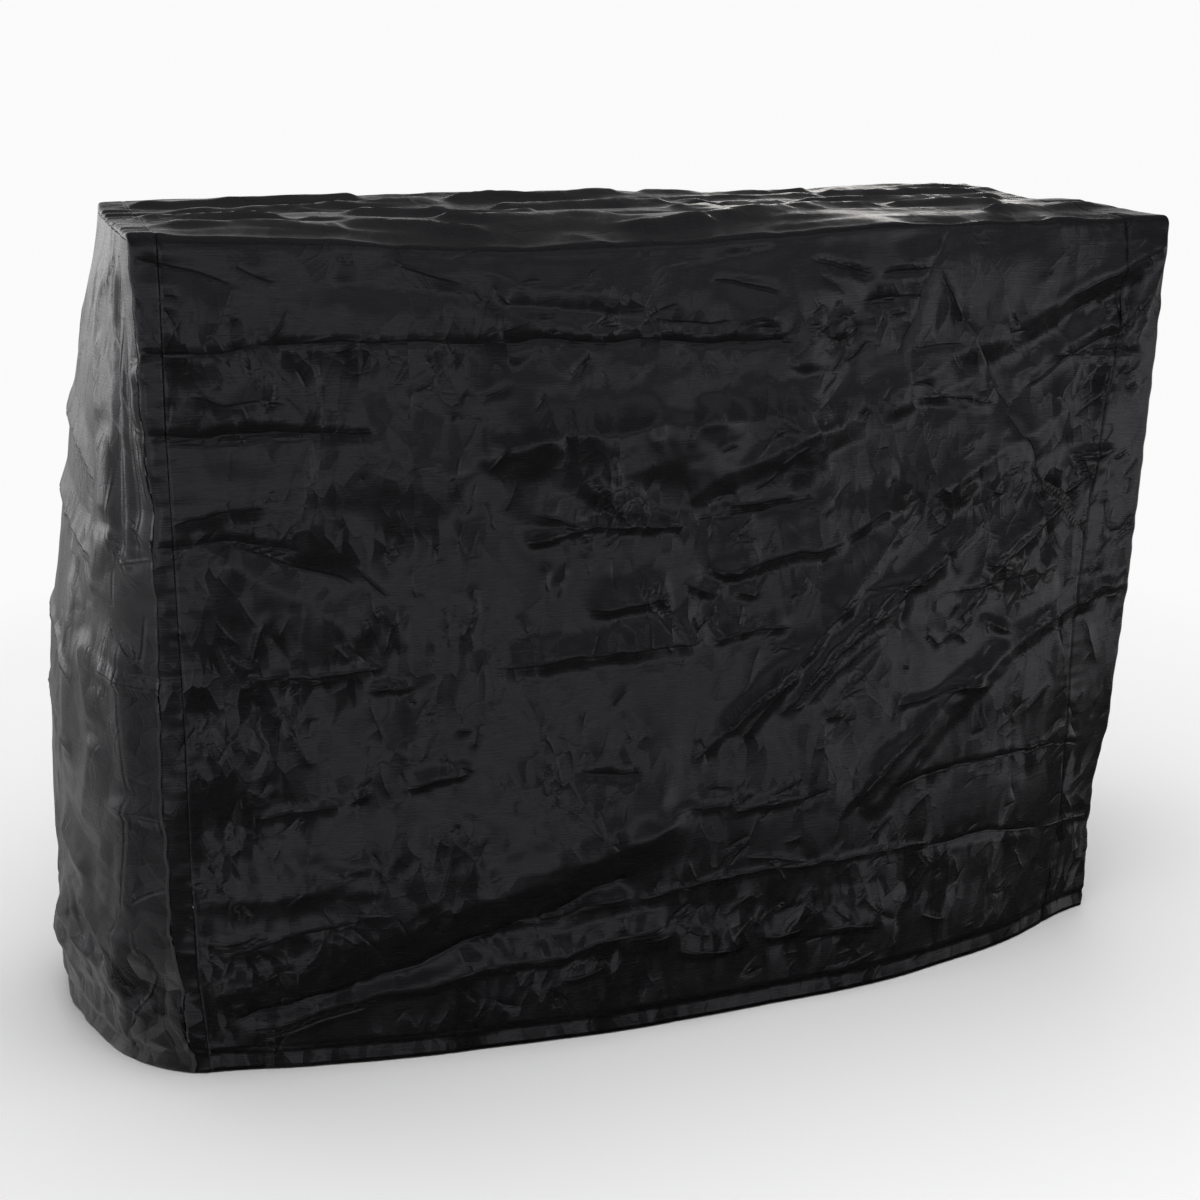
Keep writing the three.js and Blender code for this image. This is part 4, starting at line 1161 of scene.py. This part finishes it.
def cloth_material():
    """Thin black coated polyester: satin, with small flat facets, thin creases and a close weave."""
    material = bpy.data.materials.new("cover_cloth")
    tree = Tree(material)
    flat = tree.add("UVMap", uv_map="flat")["UV"]
    patches = tree.noise(flat, 5.0, 3.0)["Fac"]
    some = tree.ramp(patches, ((0.42, 0.1), (0.62, 1.0)))
    upright, level = threads(tree, flat, (420.0, 26.0, 1.0)), threads(tree, flat, (26.0, 420.0, 1.0))
    normal, ridges = facet_normal(tree, flat, some)
    normal = tree.bump(normal, ridges, CREASE_HEIGHT, tree.math("MULTIPLY", some, 0.7))
    normal = tree.bump(normal, crease_tents(tree), LINE_HEIGHT)
    normal = tree.bump(normal, tree.math("ADD", upright, level), THREAD_HEIGHT)
    tone = tree.add("Mix", {"Factor": patches, 6: DARK_TONE, 7: PALE_TONE}, data_type="RGBA")[2]
    gloss = {"Value": level, "From Min": 0.3, "From Max": 0.7, "To Min": ROUGHNESS[0], "To Max": ROUGHNESS[1]}
    tree.put(tree.nodes["Principled BSDF"], {
        "Base Color": tone, "Roughness": tree.add("MapRange", gloss)["Result"], "Normal": normal,
        "Specular IOR Level": 0.5, "Specular Tint": (0.96, 0.92, 1.0, 1),
    })
    return material


def make_floor():
    """A pale floor that fades into the white room a few metres off."""
    bpy.ops.mesh.primitive_plane_add(size=60, location=(0, 0, (CLOTH - HEIGHT) * MM - 0.003))
    floor = bpy.context.object
    floor.name = "floor"
    material = bpy.data.materials.new("pale_floor")
    tree = Tree(material)
    shader = tree.nodes["Principled BSDF"]
    tree.put(shader, {"Base Color": (0.93, 0.93, 0.93, 1), "Roughness": 0.9, "Specular IOR Level": 0})
    away = tree.vector("LENGTH", tree.add("TexCoord")["Object"])
    fade = {"Value": away, "From Min": 1.1, "From Max": 3.2}
    share = tree.add("MapRange", fade, interpolation_type="SMOOTHSTEP")
    glow = tree.add("Emission", {"Color": (WHITE, WHITE, WHITE, 1), "Strength": 1.0})[0]
    mix = tree.add("MixShader", {0: share["Result"], 1: shader.outputs[0], 2: glow})
    tree.put(tree.nodes["Material Output"], {"Surface": mix[0]})
    floor.data.materials.append(material)
    floor.visible_glossy = False


def area_light(name, place, aim, size, power, colour=(1, 1, 1)):
    light = bpy.data.lights.new(name, "AREA")
    light.shape = "RECTANGLE"
    light.size, light.size_y = size
    light.energy = power
    light.color = colour
    made = bpy.data.objects.new(name, light)
    made.location = place
    made.rotation_euler = (Vector(aim) - Vector(place)).to_track_quat("-Z", "Y").to_euler()
    made.visible_camera = False
    bpy.context.scene.collection.objects.link(made)
    return made


# The white that the camera sees, and the room's light in front and behind, as (place, grey) from straight down
# to straight up. The rear's is doubled.
WHITE = 0.96
FRONT_LIGHT = ((0.0, 0.0), (0.2, 0.02), (0.3, 0.04), (0.34, 0.16), (0.375, 0.82), (0.41, 0.84), (0.45, 0.42),
               (0.5, 0.12), (0.56, 0.05), (0.66, 0.08), (0.75, 0.05), (0.85, 0.03), (1.0, 0.02))
REAR_LIGHT = ((0.0, 0.25), (0.28, 0.24), (0.35, 0.2), (0.41, 0.25), (0.47, 0.46), (0.505, 0.92), (0.53, 0.55),
              (0.58, 0.28), (0.64, 0.06), (0.7, 0.03), (1.0, 0.03))
# How much of the rear's light is left from the left (0) to the middle (0.5) and the right (1)
REAR_SHARE = ((0.0, 1.0), (0.2, 0.95), (0.34, 0.85), (0.46, 0.9), (0.6, 1.0))


def make_world():
    """A pale room: bright overhead and behind, dark low in front, and white where the camera sees it."""
    world = bpy.data.worlds.new("studio")
    bpy.context.scene.world = world
    tree = Tree(world)
    toward = tree.add("SeparateXYZ", {0: tree.add("TexCoord")["Generated"]})
    rise = tree.math("MULTIPLY_ADD", toward["Z"], 0.5, 0.5)
    sideways = tree.math("MULTIPLY_ADD", toward["X"], 0.5, 0.5)
    back = tree.math("MULTIPLY", toward["Y"], 0.45)
    depth = tree.math("SUBTRACT", back, tree.math("MULTIPLY", toward["X"], 0.2))
    share = tree.ramp(tree.math("ADD", depth, 0.5), ((0.4, 0.0), (0.75, 1.0)))
    behind = tree.math("MULTIPLY", tree.ramp(rise, REAR_LIGHT), tree.ramp(sideways, REAR_SHARE))
    light = tree.mix(share, tree.ramp(rise, FRONT_LIGHT), tree.math("MULTIPLY", behind, 2.0))
    shown = tree.mix(tree.add("LightPath")["Is Camera Ray"], light, WHITE)
    tree.put(tree.nodes["Background"], {"Color": shown, "Strength": 1.0})


make_camera()
cloth = cloth_material()
for piece, node, flat_size in (
    (make_strip(), "main_panel", (1.80, 3.76)),
    (make_end(LEFT), "left_end_panel", (0.92, 1.60)),
    (make_end(RIGHT), "right_end_panel", (0.99, 1.60)),
):
    piece.data.materials.append(cloth)
    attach(piece, "root")
    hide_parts(node)
make_floor()
make_world()
area_light("front_softbox", (1.2, -3.6, 1.2), (0.1, -0.3, -0.4), (3.4, 1.4), 5)
area_light("side_softbox", (3.2, -3.2, -1.1), (0.7, -0.4, -0.2), (1.6, 0.9), 2.6)
area_light("left_softbox", (-2.8, 1.6, -0.5), (-0.95, -0.2, -0.4), (1.2, 1.0), 3.5)
area_light("corner_softbox", (-2.6, -2.4, -0.9), (-0.9, -0.35, -0.7), (0.8, 0.8), 1.2)
area_light("back_softbox", (3.0, 4.6, 0.5), (0.7, 0.2, 0), (1.8, 0.5), 9, (1.0, 0.96, 0.9))
area_light("overhead_softbox", (0, -0.5, 4.0), (0, -0.5, 0), (6.0, 6.0), 420).visible_glossy = False
bpy.context.scene.view_settings.view_transform = "Standard"
